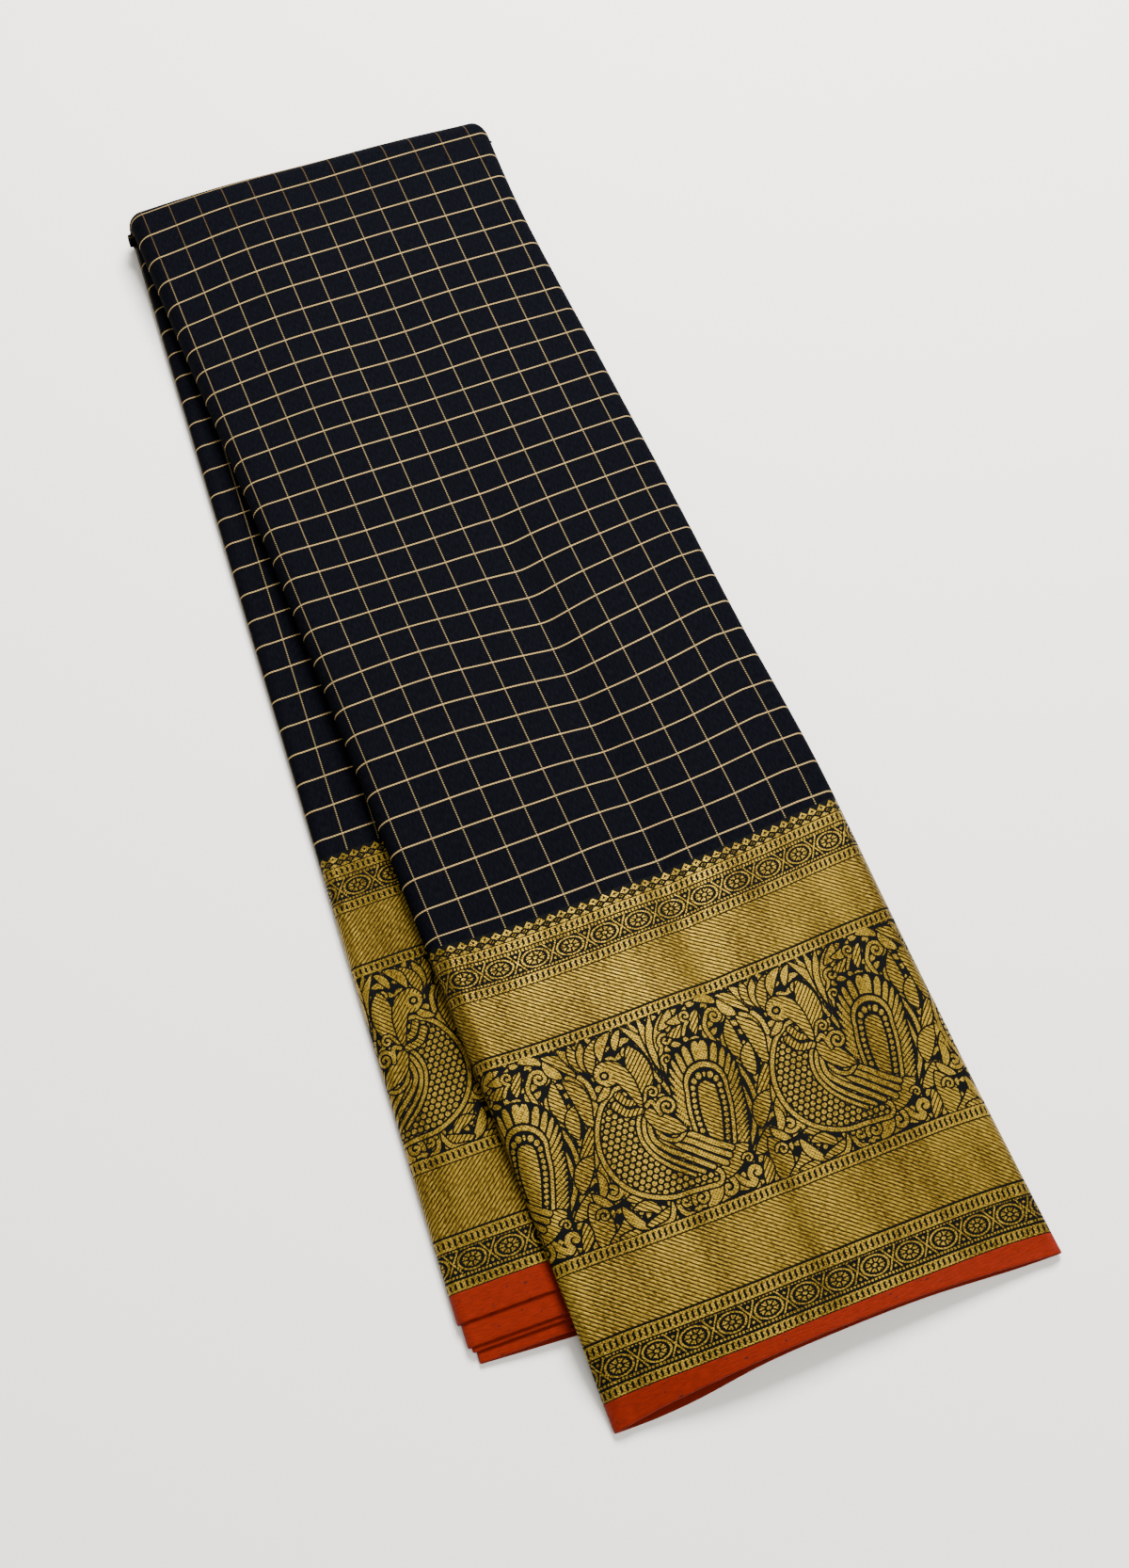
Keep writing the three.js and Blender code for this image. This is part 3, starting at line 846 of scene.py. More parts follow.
class Drawing:
    """Figures of gold thread laid over one another on the places of a grid."""

    def __init__(self, x: Array, y: Array) -> None:
        """A ground with only small leaves strewn over it."""
        self.x = (x - BIRD_PHASE) % BIRD
        self.y = y
        self.gold = self.strewn()
        self.hatch = np.zeros(x.shape)

    def strewn(self) -> Array:
        """Small pointed leaves that fill the ground, one in each square cell, each turned its own way.

        A cell's place and turn come from the fraction of a large sine of its number.
        """
        cells, half_long, half_wide = 17, 2.9, 1.35
        cell = BIRD / cells
        gold = np.full(self.x.shape, BLACK)
        for dx, dy in np.ndindex(3, 3):
            i = np.floor(self.x / cell) + dx - 1
            j = np.floor(self.y / cell) + dy - 1
            chance = np.abs(np.sin((i % cells) * 12.9898 + j * 78.233) * 43758.5453) % 1
            other = (chance * 57.31) % 1
            turn = chance * 2 * np.pi
            px = self.x - (i + 0.3 + 0.4 * other) * cell
            py = self.y - (j + 0.3 + 0.4 * chance) * cell
            along = (px * np.cos(turn) + py * np.sin(turn)) / half_long
            aside = np.abs(py * np.cos(turn) - px * np.sin(turn)) / half_wide
            inside = (1 - along**2 - aside) * 1.1
            gold = np.where(inside > 0, np.maximum(gold, inside - 0.12), gold)
        return gold

    def places(self, path: Array, margin: float) -> Iterator[tuple[tuple[Array, ...], Array, Array]]:
        """The places near a path, in each repeat that reaches them."""
        low = (path[:, :2] - path[:, 2:]).min(axis=0) - margin
        high = (path[:, :2] + path[:, 2:]).max(axis=0) + margin
        for shift in (-BIRD, 0.0, BIRD):
            x = self.x + shift
            here = np.nonzero((x > low[0]) & (x < high[0]) & (self.y > low[1]) & (self.y < high[1]))
            if len(here[0]):
                yield here, x[here], self.y[here]

    def lay(
        self,
        here: tuple[Array, ...],
        inside: Array,
        hatch: Array | float,
        within: Array | float = ANYWHERE,
    ) -> None:
        """Lay a figure over what is there, with a dark line round it.

        Args:
            here: The places near it.
            inside: How far within its edge each place lies, mm.
            hatch: Its hatching.
            within: How far inside gold its own pattern makes each place.
        """
        inner = np.minimum(inside - OUTLINE, within)
        outer = np.minimum(self.gold[here], -inside - OUTLINE)
        self.gold[here] = np.where(inside > 0, inner, outer)
        self.hatch[here] = np.where(inside > 0, hatch, self.hatch[here])

    def draw(self, figure: Leaf | Stem | Curl) -> None:
        """Lay one leaf, stem or scroll."""
        path = figure.path()
        for here, x, y in self.places(path, REACHED):
            self.lay(here, -sweep(x, y, path).outside, figure.hatch)

    def scales(self, path: Array) -> None:
        """Round scales, packed like tiles inside a swept shape."""
        pitch, drop, radius = 2.75, 2.35, 1.1
        for here, x, y in self.places(path, REACHED):
            row = np.floor(y / drop)
            across = (x - row % 2 * pitch / 2) % pitch - pitch / 2
            scale = radius - np.hypot(across, y % drop - drop / 2)
            self.lay(here, -sweep(x, y, path).outside, 0.0, scale)

    def feather(self, spine: Sequence[Sequence[float]]) -> None:
        """An upright feather: hatched heart, a row of beads, a rim and a fringe of slanting barbs.

        All follow the distance from the heart, which grows more slowly over the feather's top, so that the
        fringe is longer there. Barbs and beads repeat along the spine and then round the top.
        """
        barb_pitch, barb_turn, barb_lean, barb_gap = 2.5, 8.0, 0.42, 0.27
        bead_pitch, bead_turn, bead_at, bead = 2.45, 5.2, 1.6, 1.0
        beads_to, ground_to, rim_to, fringe_to = 3.0, 3.1, 5.1, 10.6
        tips_from, tips_rise, tips_round = 7.4, 3.3, 1.6
        top_reach, below, margin = 0.62, 3.0, 19.0
        path = smooth(spine)
        total = np.hypot(*np.diff(path[:, :2], axis=0).T).sum()
        top, before = path[-1], path[-4]
        axis = np.arctan2(top[1] - before[1], top[0] - before[0])
        for here, x, y in self.places(path, margin):
            reach = sweep(x, y, path)
            turn = np.arctan2(y - top[1], x - top[0]) - axis
            turn = np.abs((turn + np.pi) % (2 * np.pi) - np.pi)
            past = np.clip(np.pi / 2 - turn, 0, None)
            slower = reach.outside / (1 + top_reach * np.sin(past) ** 1.5)
            depth = np.where(reach.outside > 0, slower, reach.outside)
            run = np.where(past > 0, total, reach.along)
            barb = (run + past * barb_turn) / barb_pitch - (depth - rim_to) * barb_lean * np.cos(past) ** 2
            leaf = np.abs(barb % 1 - 0.5)
            tips = tips_from + tips_rise * (1 - (2 * leaf) ** tips_round)
            barbs = np.minimum((tips - depth) * 0.9, (0.5 - leaf) * 2.3 - barb_gap)
            self.lay(here, np.minimum(fringe_to - depth, run + below), 0.0, barbs)
            self.lay(here, rim_to - depth, 0.0)
            self.lay(here, ground_to - depth, 0.0, BLACK)
            from_bead = ((run + past * bead_turn) / bead_pitch % 1 - 0.5) * bead_pitch
            round_bead = bead - np.hypot(depth - bead_at, from_bead)
            beaded = np.maximum(round_bead, -depth - OUTLINE)
            self.gold[here] = np.where(depth < beads_to, beaded, self.gold[here])
            self.hatch[here] = np.where(depth < 0, 1.0, self.hatch[here])


FEATHER = ((66.0, 61.0, 1.5), (67.0, 52.5, 3.5), (68.8, 44.0, 4.4), (70.4, 37.0, 4.0))
BODY = (
    (37.5, 27, 2.4),
    (33, 34, 6),
    (31, 45.5, 9.2),
    (34, 55, 10.6),
    (41, 61.5, 9.2),
    (49.5, 66, 5.5),
    (59, 70.5, 2),
)
BODY_RIM = 2.3
TALL_STALK = ((-1, 66), (5, 58.5), (10, 50), (11.3, 41), (9.5, 31.5), (5.6, 22), (3.4, 13))
PLANTS = (
    Curl((9.2, 9.4), 3.6, 200, 1.4, 2.5, TALL_STALK),
    Stem(((0.5, 64), (6.5, 55.5), (7.8, 45), (6.4, 35), (3.0, 26), (0.6, 18)), 2.4, 2.4),
    Curl((12.4, 20.2), 3.2, 250, 1.3, 2.2, ((13.0, 33.0), (8.6, 26.0), (8.4, 19.5))),
    Leaf((14.4, 32.5), (13.6, 13.0), 6.4, -0.1),
    Leaf((20.8, 35.5), (18.0, 11.0), 8.4, 0.12),
    Stem(((24.6, 32.5), (26.6, 24), (24.4, 16.5), (19.8, 12.6)), 2.6, 2.2),
    Stem(((27.0, 24.0), (26.4, 17.5), (22.6, 11.2)), 2.6, 2.4),
    Leaf((15.0, 37.5), (17.6, 25.0), 6.2, -0.1),
    Leaf((12.4, 47.5), (20.4, 35.5), 6.8, 0.12, -1),
    Leaf((8.4, 58.5), (17.4, 46.5), 7.4, -0.12),
    Leaf((16.6, 52.5), (20.2, 42.0), 3.8, 0.1, 0),
    Leaf((19.4, 58.5), (19.0, 50.0), 3.6, -0.1, 0),
    Curl((19.4, 61.8), 3.8, 330, 1.5, 2.4, ((26.5, 73.5), (24.6, 67.5))),
    Leaf((13.6, 64.0), (16.6, 52.5), 3.8, 0.15, 0),
    Leaf((1.5, 68.0), (12.0, 59.5), 6.0, 0.1),
    Leaf((11.5, 60.5), (17.5, 67.0), 4.0, 0.1, 0),
    Leaf((3.0, 4.5), (-1.5, 14.0), 4.6, 0.1, -1),
    Leaf((12.5, 4.5), (3.5, 0.6), 4.0, 0.15, 0),
    Leaf((13.6, 3.0), (18.0, 12.0), 5.0, 0.1, 0),
    Leaf((23.0, 13.0), (13.5, 1.6), 5.4, 0.12),
    Leaf((25.0, 12.5), (20.0, 0.6), 4.6, 0.1, 0),
    Leaf((28.2, 13.5), (25.2, 0.4), 4.8, -0.1),
    Leaf((29.0, 14.5), (30.2, 0.8), 4.4, -0.1, 0),
    Leaf((30.0, 15.5), (36.2, 1.6), 5.0, -0.12),
    Leaf((35.0, 10.6), (42.6, 0.8), 4.6, -0.15, 0),
    Leaf((42.0, 9.0), (47.0, 1.0), 3.6, -0.1, 0),
)
PALMETTE = (
    Stem(((57.4, 47), (58.4, 36), (56.6, 26), (57.0, 17)), 2.4, 2.4),
    Leaf((55.8, 30.0), (51.2, -1.0), 4.6, 0.05, 0),
    Leaf((55.0, 26.0), (47.4, 0.0), 4.2, 0.12, 0),
    Leaf((56.0, 24.0), (55.4, -1.0), 4.4, 0.02, 0),
    Leaf((57.0, 25.0), (60.6, 0.0), 4.4, -0.08, 0),
    Leaf((58.6, 20.0), (66.0, 1.0), 4.2, -0.1, 0),
    Stem(((57.2, 46), (56.6, 36), (54.8, 28), (53.4, 20)), 2.2, 2.0),
    Curl((46.4, 10.8), 2.9, 20, 1.35, 1.9, ((54.0, 27), (51.4, 16.5))),
    Curl((62.8, 12.0), 3.2, 140, 1.35, 2.1, ((57.4, 29), (57.8, 19.0))),
    Curl((60.2, 19.6), 2.5, 130, 1.2, 1.8, ((58.2, 34), (58.0, 25))),
    Leaf((58.4, 39), (61.2, 23.0), 4.0, 0.1),
    Leaf((62.0, 7.0), (69.0, 0.6), 4.4, 0.1, 0),
    Leaf((64.5, 10.5), (74.0, 8.0), 5.2, 0.15, -1),
    Leaf((66.0, 5.5), (76.0, 1.6), 4.4, 0.2, 0),
    Curl((74.4, 5.4), 2.6, 90, 1.2, 1.9, ((70.5, 12.5), (72.5, 9.5))),
)
FOOT = (
    Stem(((56.5, 66.0), (62.0, 71.5), (66.5, 77.5), (73.5, 79.4)), 3.2, 3.2),
    Curl((75.3, 74.6), 3.4, 120, 0.95, 3.2, ((60.0, 64.5), (64.5, 70.0), (69.0, 76.5), (72.0, 78.6))),
    Curl((62.5, 76.4), 3.4, 330, 0.95, 2.8, ((57.0, 68.5), (63.5, 71.5))),
    Leaf((63.5, 72.0), (76.0, 63.5), 8.6, -0.1),
    Curl((74.6, 68.4), 2.2, 200, 1.2, 1.6),
    Leaf((8.0, 81.5), (9.4, 64.5), 9.6, 0.12),
    Curl((12.6, 69.8), 2.6, 180, 1.2, 1.8),
    Leaf((0.5, 80.5), (4.6, 70.0), 5.0, 0.1, -1),
    Leaf((11.5, 80.5), (21.5, 71.5), 5.4, 0.2),
    Leaf((15.5, 80.0), (24.5, 79.6), 4.2, 0.1),
    Leaf((20.5, 69.0), (27.5, 80.6), 4.6, 0.1, 0),
    Leaf((23.0, 67.0), (31.5, 73.0), 4.6, -0.2),
    Leaf((24.5, 71.5), (34.0, 76.6), 4.8, -0.2),
    Leaf((27.0, 79.0), (38.5, 75.5), 5.6, 0.15),
    Leaf((52.5, 80.5), (59.5, 70.5), 6.4, 0.1, 0),
    Stem(((29.5, 81.5), (36.5, 80.0), (40.5, 73.0)), 2.4, 2.4),
    Stem(((46.5, 81.5), (42.0, 79.0), (40.8, 72.0)), 2.4, 2.4),
    Curl((44.5, 75.4), 3.0, 200, 1.35, 2.1),
    Curl((51.0, 76.2), 3.5, 160, 1.35, 2.3),
)
TAIL = (
    Stem(((53.0, 48.5), (58.5, 52.5), (63.5, 57.0), (70.0, 62.0)), 2.7, 2.8),
    Stem(((50.5, 50.0), (56.0, 54.0), (61.5, 59.0), (68.0, 64.5)), 2.7, 2.8),
    Stem(((47.0, 51.5), (53.0, 55.5), (59.0, 61.0), (65.5, 67.0)), 2.7, 2.8),
)
WING = (
    Stem(((44.2, 34.4), (39.6, 39.0), (37.8, 46.0), (39.6, 53.5), (44.6, 60.5), (52.0, 67.0)), 2.0, 2.0),
    Stem(((44.8, 35.8), (41.2, 40.8), (39.9, 47.0), (42.2, 53.6), (47.8, 60.0), (56.0, 67.0)), 2.1, 2.2),
    Stem(((45.6, 37.6), (43.0, 42.2), (42.4, 48.2), (45.6, 53.4), (51.8, 59.0), (60.2, 66.6)), 2.3, 2.5),
    Stem(((46.4, 39.0), (44.8, 43.5), (46.4, 48.8), (51.3, 51.6), (56.2, 49.0)), 2.2, 2.0),
    Leaf((43.8, 35.4), (55.6, 48.6), 8.2, 0.08, 1),
)
HEAD = (
    Stem(((33.4, 30.0), (36.5, 34.4), (42.0, 35.5)), 3.8, 3.2, -1),
    Stem(((36.0, 26.5), (38.5, 30.6), (43.0, 31.6)), 3.4, 3.0, -1),
    Leaf((27.4, 26.0), (34.6, 20.2), 3.6, 0.1, 0),
    Leaf((43.0, 33.0), (47.4, 9.6), 10.5, 0.1, -1),
    Stem(((35.4, 16.6), (38.4, 17.0), (41.2, 21.5), (42.6, 27.5), (43.2, 33.0)), 11.0, 2.6, 1),
    Curl((49.3, 30.0), 2.6, 200, 1.3, 1.8, ((44.5, 34.5), (45.6, 31.5))),
    Curl((52.6, 37.4), 4.1, 150, 1.6, 2.2, ((45.0, 34.5), (47.5, 33.5))),
)
EYE = np.array([[34.0, 17.0, 1.9], [34.1, 17.0, 1.9]])
EYE_RING = 0.45  # half width of the dark ring in the eye
EYE_PLAIN = 1.4  # how far round the eye nothing is hatched
EYE_REACH = 1.6  # how far round the eye its places are worked out


def birds(u: Array, v: Array) -> tuple[Array, Array]:
    """The bird repeat, charted in mm: gold and hatch for each place of the band.

    Each figure is laid over those before it, so the order is from the back to the front.
    """
    drawing = Drawing(u, v)
    for figure in (*PLANTS, *PALMETTE):
        drawing.draw(figure)
    drawing.feather(FEATHER)
    for figure in (*FOOT, *TAIL):
        drawing.draw(figure)
    body = smooth(BODY)
    rim = body + [0, 0, BODY_RIM]
    for here, x, y in drawing.places(rim, REACHED):
        drawing.lay(here, -sweep(x, y, rim).outside, 0.0)
    drawing.scales(body)
    for figure in (*WING, *HEAD):
        drawing.draw(figure)
    for here, x, y in drawing.places(EYE, EYE_REACH):
        reach = sweep(x, y, EYE).outside
        drawing.gold[here] = np.minimum(drawing.gold[here], np.abs(reach + EYE_RING) - EYE_RING)
        drawing.hatch[here] = np.where(reach < EYE_PLAIN, 0.0, drawing.hatch[here])
    return drawing.gold, drawing.hatch


def ornament(u: Array, v: Array, first: float) -> dict[str, Array]:
    """The border's woven figures at each place.

    Args:
        u: Across the border, mm.
        v: Down the border from the tips of its teeth, mm.
        first: Where the first rosette lies across, mm.

    Returns:
        gold, how far each place lies inside gold thread (negative in the dark ground); hatch, 1 or -1 where
        fine slanting lines cross the gold; twill, 1 where the gold is plain twill.
    """
    same, line_reach = 1e-6, 1.0
    gold = np.full(u.shape, BLACK)
    hatch = np.zeros(u.shape)
    twill = np.zeros(u.shape)
    start = 0.0
    for band in BANDS:
        here = (v >= start - same) & (v < start + band.height + same)
        across, down = u[here], v[here] - start
        if band.pattern is Pattern.TEETH:
            gold[here] = teeth(across, down)
        elif band.pattern is Pattern.CHAIN:
            gold[here] = chain(across, down, band.height)
        elif band.pattern is Pattern.BEADS:
            gold[here] = beads(across, down, band.height)
        elif band.pattern is Pattern.ROSETTES:
            gold[here] = rosettes(across, down, band.height, first)
        elif band.pattern is Pattern.TWILL:
            gold[here] = GOLD
            twill[here] = 1.0
        elif band.pattern is Pattern.BIRDS:
            gold[here], hatch[here] = birds(across, down)
        elif band.pattern is Pattern.LINE:
            off = np.abs(v - start - band.height / 2)
            near = off < line_reach
            gold[near] = np.minimum(gold[near], off[near] - DARK_LINE)
        start += band.height
    return {"gold": gold, "hatch": hatch, "twill": twill}


def band_rows(first: int, last: int) -> Array:
    """Distances down the border of the mesh rows from BANDS[first] to the one before BANDS[last]."""
    starts = np.concatenate([[0.0], np.cumsum([band.height for band in BANDS])])
    rows = [
        np.linspace(starts[k], starts[k + 1], max(1, round(BANDS[k].height / BANDS[k].step)) + 1)[:-1]
        for k in range(first, last)
    ]
    return np.concatenate([*rows, [starts[last]]])


# Finishes


class Nodes:
    """A material's node tree. Places are in mm of the weave, and p and q are sockets or numbers."""

    def __init__(self, name: str) -> None:
        """A new material with only its output and surface shader."""
        self.material = bpy.data.materials.new(name)
        self.material.use_nodes = True
        self.tree = self.material.node_tree
        self.shader = self.tree.nodes["Principled BSDF"]

    def _set(self, socket: Socket, value: object) -> None:
        """Link a socket to another, or give it a number or colour."""
        if isinstance(value, bpy.types.NodeSocket):
            self.tree.links.new(value, socket)
        else:
            socket.default_value = value

    def math(self, how: str, p: object, q: object = 0.0) -> Socket:
        """A Math node's result."""
        node = self.tree.nodes.new("ShaderNodeMath")
        node.operation = how
        for socket, value in zip(node.inputs, (p, q)):
            self._set(socket, value)
        return node.outputs[0]

    def times(self, p: object, q: object) -> Socket:
        """p times q."""
        return self.math("MULTIPLY", p, q)

    def plus(self, p: object, q: object) -> Socket:
        """p plus q."""
        return self.math("ADD", p, q)

    def minus(self, p: object, q: object) -> Socket:
        """p less q."""
        return self.math("SUBTRACT", p, q)

    def larger(self, p: object, q: object) -> Socket:
        """The larger of two."""
        return self.math("MAXIMUM", p, q)

    def wave(self, value: object, pitch: float) -> Socket:
        """A sine wave of a pitch in mm."""
        return self.math("SINE", self.times(value, 2 * np.pi / pitch))

    def mark(self, name: str) -> Socket:
        """One of the mesh's own numbers."""
        node = self.tree.nodes.new("ShaderNodeAttribute")
        node.attribute_name = name
        return node.outputs["Fac"]

    def weave(self) -> tuple[Socket, Socket]:
        """The weave map: across and along, mm."""
        node = self.tree.nodes.new("ShaderNodeUVMap")
        node.uv_map = "weave"
        split = self.tree.nodes.new("ShaderNodeSeparateXYZ")
        self.tree.links.new(node.outputs[0], split.inputs[0])
        return split.outputs[0], split.outputs[1]

    def noise(self, across: Socket, along: Socket, often: tuple[float, float], detail: float) -> Socket:
        """A noise of about 0 to 1.

        Args:
            across: Place across.
            along: Place along.
            often: Lumps in a millimetre, across and along.
            detail: Octaves of finer lumps.

        Returns:
            The noise.
        """
        where = self.tree.nodes.new("ShaderNodeCombineXYZ")
        for socket, place, share in zip(where.inputs, (across, along), often):
            self._set(socket, self.times(place, share))
        node = self.tree.nodes.new("ShaderNodeTexNoise")
        self._set(node.inputs["Vector"], where.outputs[0])
        node.inputs["Scale"].default_value = 1.0
        node.inputs["Detail"].default_value = detail
        return node.outputs["Fac"]

    def range(self, value: object, lo: float, hi: float, a: float = 0.0, b: float = 1.0) -> Socket:
        """A smooth step from a to b as value goes from lo to hi."""
        node = self.tree.nodes.new("ShaderNodeMapRange")
        node.interpolation_type = "SMOOTHSTEP"
        for socket, number in zip(node.inputs, (value, lo, hi, a, b)):
            self._set(socket, number)
        return node.outputs[0]

    def mix(self, share: object, first: object, second: object) -> Socket:
        """A colour between two."""
        node = self.tree.nodes.new("ShaderNodeMix")
        node.data_type = "RGBA"
        first_colour, second_colour, mixed = 6, 7, 2  # a Mix node has such sockets for each kind of value
        self._set(node.inputs["Factor"], share)
        self._set(node.inputs[first_colour], first)
        self._set(node.inputs[second_colour], second)
        return node.outputs[mixed]

    def stripe(self, value: object, pitch: float, width: float, soft: float) -> Socket:
        """1 on lines width mm wide that repeat at a pitch, 0 between them."""
        folded = self.math("PINGPONG", value, pitch / 2)
        return self.range(folded, width / 2 - soft, width / 2 + soft, 1.0, 0.0)

    def bump(self, height: object, distance: float) -> None:
        """Raise the surface by height times distance, metres."""
        node = self.tree.nodes.new("ShaderNodeBump")
        node.inputs["Distance"].default_value = distance
        self._set(node.inputs["Height"], height)
        self.tree.links.new(node.outputs[0], self.shader.inputs["Normal"])

    def finish(self, **values: object) -> bpy.types.Material:
        """Set the shader's sockets, named with _ for a space."""
        for name, value in values.items():
            self._set(self.shader.inputs[name.replace("_", " ")], value)
        return self.material


@dataclass(frozen=True)
class CheckedSilk:
    """Near-black silk with gold rows of twisted thread one way and finer dotted lines the other."""

    ground: Colour = (0.0018, 0.0020, 0.0032, 1)
    lift: Colour = (0.0032, 0.0035, 0.0053, 1)
    row: Colour = (0.38, 0.28, 0.125, 1)
    row_dark: Colour = (0.20, 0.12, 0.035, 1)
    line: Colour = (0.24, 0.175, 0.08, 1)
    # The duller colour below is the lengthwise lines in painted shade towards the far fold.
    line_shaded: Colour = (0.10, 0.06, 0.025, 1)
    row_width: float = 0.62
    line_width: float = 0.5
    soft: float = 0.12
    twist: float = 1.3
    lean: float = 0.8
    dot: float = 1.05
    dot_gap: float = 0.12
    # Where the painted shade of the lengthwise lines starts and where it is full, along the weave, mm.
    shade_from: float = 340.0
    shade_to: float = 385.0
    relief: float = 0.0002

    def material(self) -> bpy.types.Material:
        """The finish as a material."""
        n = Nodes("checked_silk")
        u, v = n.weave()
        row = n.stripe(v, CHECK, self.row_width, self.soft)
        line = n.stripe(u, CHECK, self.line_width, self.soft)
        slant = n.plus(u, n.times(v, self.lean))
        ply = n.range(n.wave(slant, self.twist), -0.9, 0.5)
        dot = n.range(n.wave(v, self.dot), -0.5, 0.3)
        mottle = n.noise(u, v, (1.4, 0.35), 3)
        weave = n.noise(u, v, (3.2, 1.7), 1)
        cloth = n.mix(n.range(mottle, 0.35, 0.7), self.ground, self.lift)
        # Painted shade: the lengthwise lines go over to their duller colour in the far part of the weave,
        # towards the far fold.
        bright = n.mix(n.range(v, self.shade_from, self.shade_to), self.line, self.line_shaded)
        dotted = n.times(line, n.plus(self.dot_gap, n.times(dot, 1 - self.dot_gap)))
        rope = n.mix(ply, self.row_dark, self.row)
        colour = n.mix(row, n.mix(dotted, cloth, bright), rope)
        raised = n.times(row, n.plus(0.6, n.times(ply, 0.4)))
        thread = n.larger(raised, dotted)
        n.bump(n.plus(thread, n.times(weave, 0.2)), self.relief)
        return n.finish(
            Base_Color=colour,
            Roughness=n.minus(0.75, n.times(thread, 0.2)),
            Metallic=n.times(thread, 0.2),
            Specular_IOR_Level=0.006,
        )


@dataclass(frozen=True)
class Zari:
    """Gold-wrapped thread woven over dark silk: bright where it floats, dark in the figures' outlines."""

    ground: Colour = (0.0012, 0.0014, 0.0014, 1)
    # The gold thread lit and in shade. The fine stitch grain between them is the thread's own texture; the
    # broad patches are painted light.
    bright: Colour = (0.365, 0.237, 0.026, 1)
    deep: Colour = (0.030, 0.014, 0.0005, 1)
    groove: Colour = (0.004, 0.0015, 0.0001, 1)
    twill_pitch: float = 1.95
    twill_slope: float = 0.8
    twill_groove: tuple[float, float] = (0.8, 0.28)
    hatch_pitch: float = 2.05
    hatch_slope: float = 0.95
    hatch_groove: tuple[float, float] = (0.66, 0.16)
    dot_pitch: float = 1.5
    relief: float = 0.00024

    def material(self) -> bpy.types.Material:
        """The finish as a material."""
        n = Nodes("zari")
        u, v = n.weave()
        gold = n.range(n.mark("gold"), -0.02, 0.11)
        twilled, hatch = n.mark("twill"), n.mark("hatch")
        slant = n.minus(v, n.times(u, self.twill_slope))
        steep = n.times(u, self.hatch_slope)
        twill = n.stripe(slant, self.twill_pitch, *self.twill_groove)
        down = n.stripe(n.minus(v, steep), self.hatch_pitch, *self.hatch_groove)
        up = n.stripe(n.plus(v, steep), self.hatch_pitch, *self.hatch_groove)
        lines = n.larger(n.times(down, n.range(hatch, 0.4, 0.6)), n.times(up, n.range(hatch, -0.4, -0.6)))
        dots = n.range(n.times(n.wave(u, self.dot_pitch), n.wave(v, self.dot_pitch)), 0.35, 0.75)
        plain = n.times(n.range(n.math("ABSOLUTE", hatch), 0.4, 0.2), n.range(twilled, 0.6, 0.4))
        cut = n.larger(lines, n.times(n.times(dots, plain), 0.75))
        groove = n.larger(n.times(twill, n.times(twilled, 0.9)), cut)
        stitch = n.noise(u, slant, (0.7, 1.5), 2)
        # Painted light: broad patches, long across the border, brighten and darken the gold as the highlights
        # and shade of its puckers would.
        painted_pucker_light = n.noise(u, v, (0.05, 0.012), 3)
        # The thread's colour runs from deep to bright by the stitch grain, its own texture, and by the
        # painted highlights and shade of the patches.
        grain_and_painted_light = n.plus(n.range(stitch, 0.35, 0.62, 0.22, 0.68), n.range(painted_pucker_light, 0.3, 0.7, -0.1, 0.2))
        thread = n.mix(n.range(grain_and_painted_light, 0.0, 1.05), self.deep, self.bright)
        colour = n.mix(gold, self.ground, n.mix(groove, thread, self.groove))
        lit = n.times(gold, n.minus(1.0, n.times(groove, 0.85)))
        n.bump(n.plus(lit, n.times(stitch, 0.6)), self.relief)
        return n.finish(
            Base_Color=colour,
            Roughness=n.range(lit, 0, 1, 0.7, 0.38),
            Metallic=n.times(lit, 0.6),
            Specular_IOR_Level=0.05,
        )


@dataclass(frozen=True)
class PlainSilk:
    """Plain-woven silk of one colour, with a few dark thread ends where the noise is above specks."""

    name: str
    low: Colour
    high: Colour
    specks: float | None = None
    thread: float = 0.55
    end: Colour = (0.02, 0.006, 0.004, 1)
    relief: float = 0.00016

    def material(self) -> bpy.types.Material:
        """The finish as a material."""
        n = Nodes(self.name)
        u, v = n.weave()
        slub = n.noise(u, v, (0.25, 2.2), 2)
        plain = n.times(n.wave(u, self.thread), n.wave(v, self.thread))
        colour = n.mix(n.range(slub, 0.3, 0.7), self.low, self.high)
        if self.specks is not None:
            spot = n.noise(u, v, (0.42, 1.1), 0)
            colour = n.mix(n.range(spot, self.specks, self.specks + 0.03), colour, self.end)
        n.bump(n.plus(n.times(plain, 0.4), slub), self.relief)
        return n.finish(Base_Color=colour, Roughness=0.55, Specular_IOR_Level=0.08)


@dataclass(frozen=True)
class Finishes:
    """The saree's finishes, each made once."""

    silk: bpy.types.Material
    zari: bpy.types.Material
    selvedge: bpy.types.Material
    # The hidden layers' finish is the selvedge's orange darkened as painted shade.
    hidden: bpy.types.Material

    @staticmethod
    def make() -> "Finishes":
        """All the finishes."""
        orange = PlainSilk("selvedge_silk", (0.12, 0.0055, 0.0, 1), (0.175, 0.0085, 0.0001, 1), specks=0.775)
        # The hidden layers are the selvedge's orange at about a quarter of its brightness: painted shade of
        # the inside, where their edges show in the mouth.
        hidden_in_shade = PlainSilk("hidden_silk", (0.030, 0.001, 0.0002, 1), (0.05, 0.002, 0.0003, 1))
        return Finishes(CheckedSilk().material(), Zari().material(), orange.material(), hidden_in_shade.material())


# The pieces


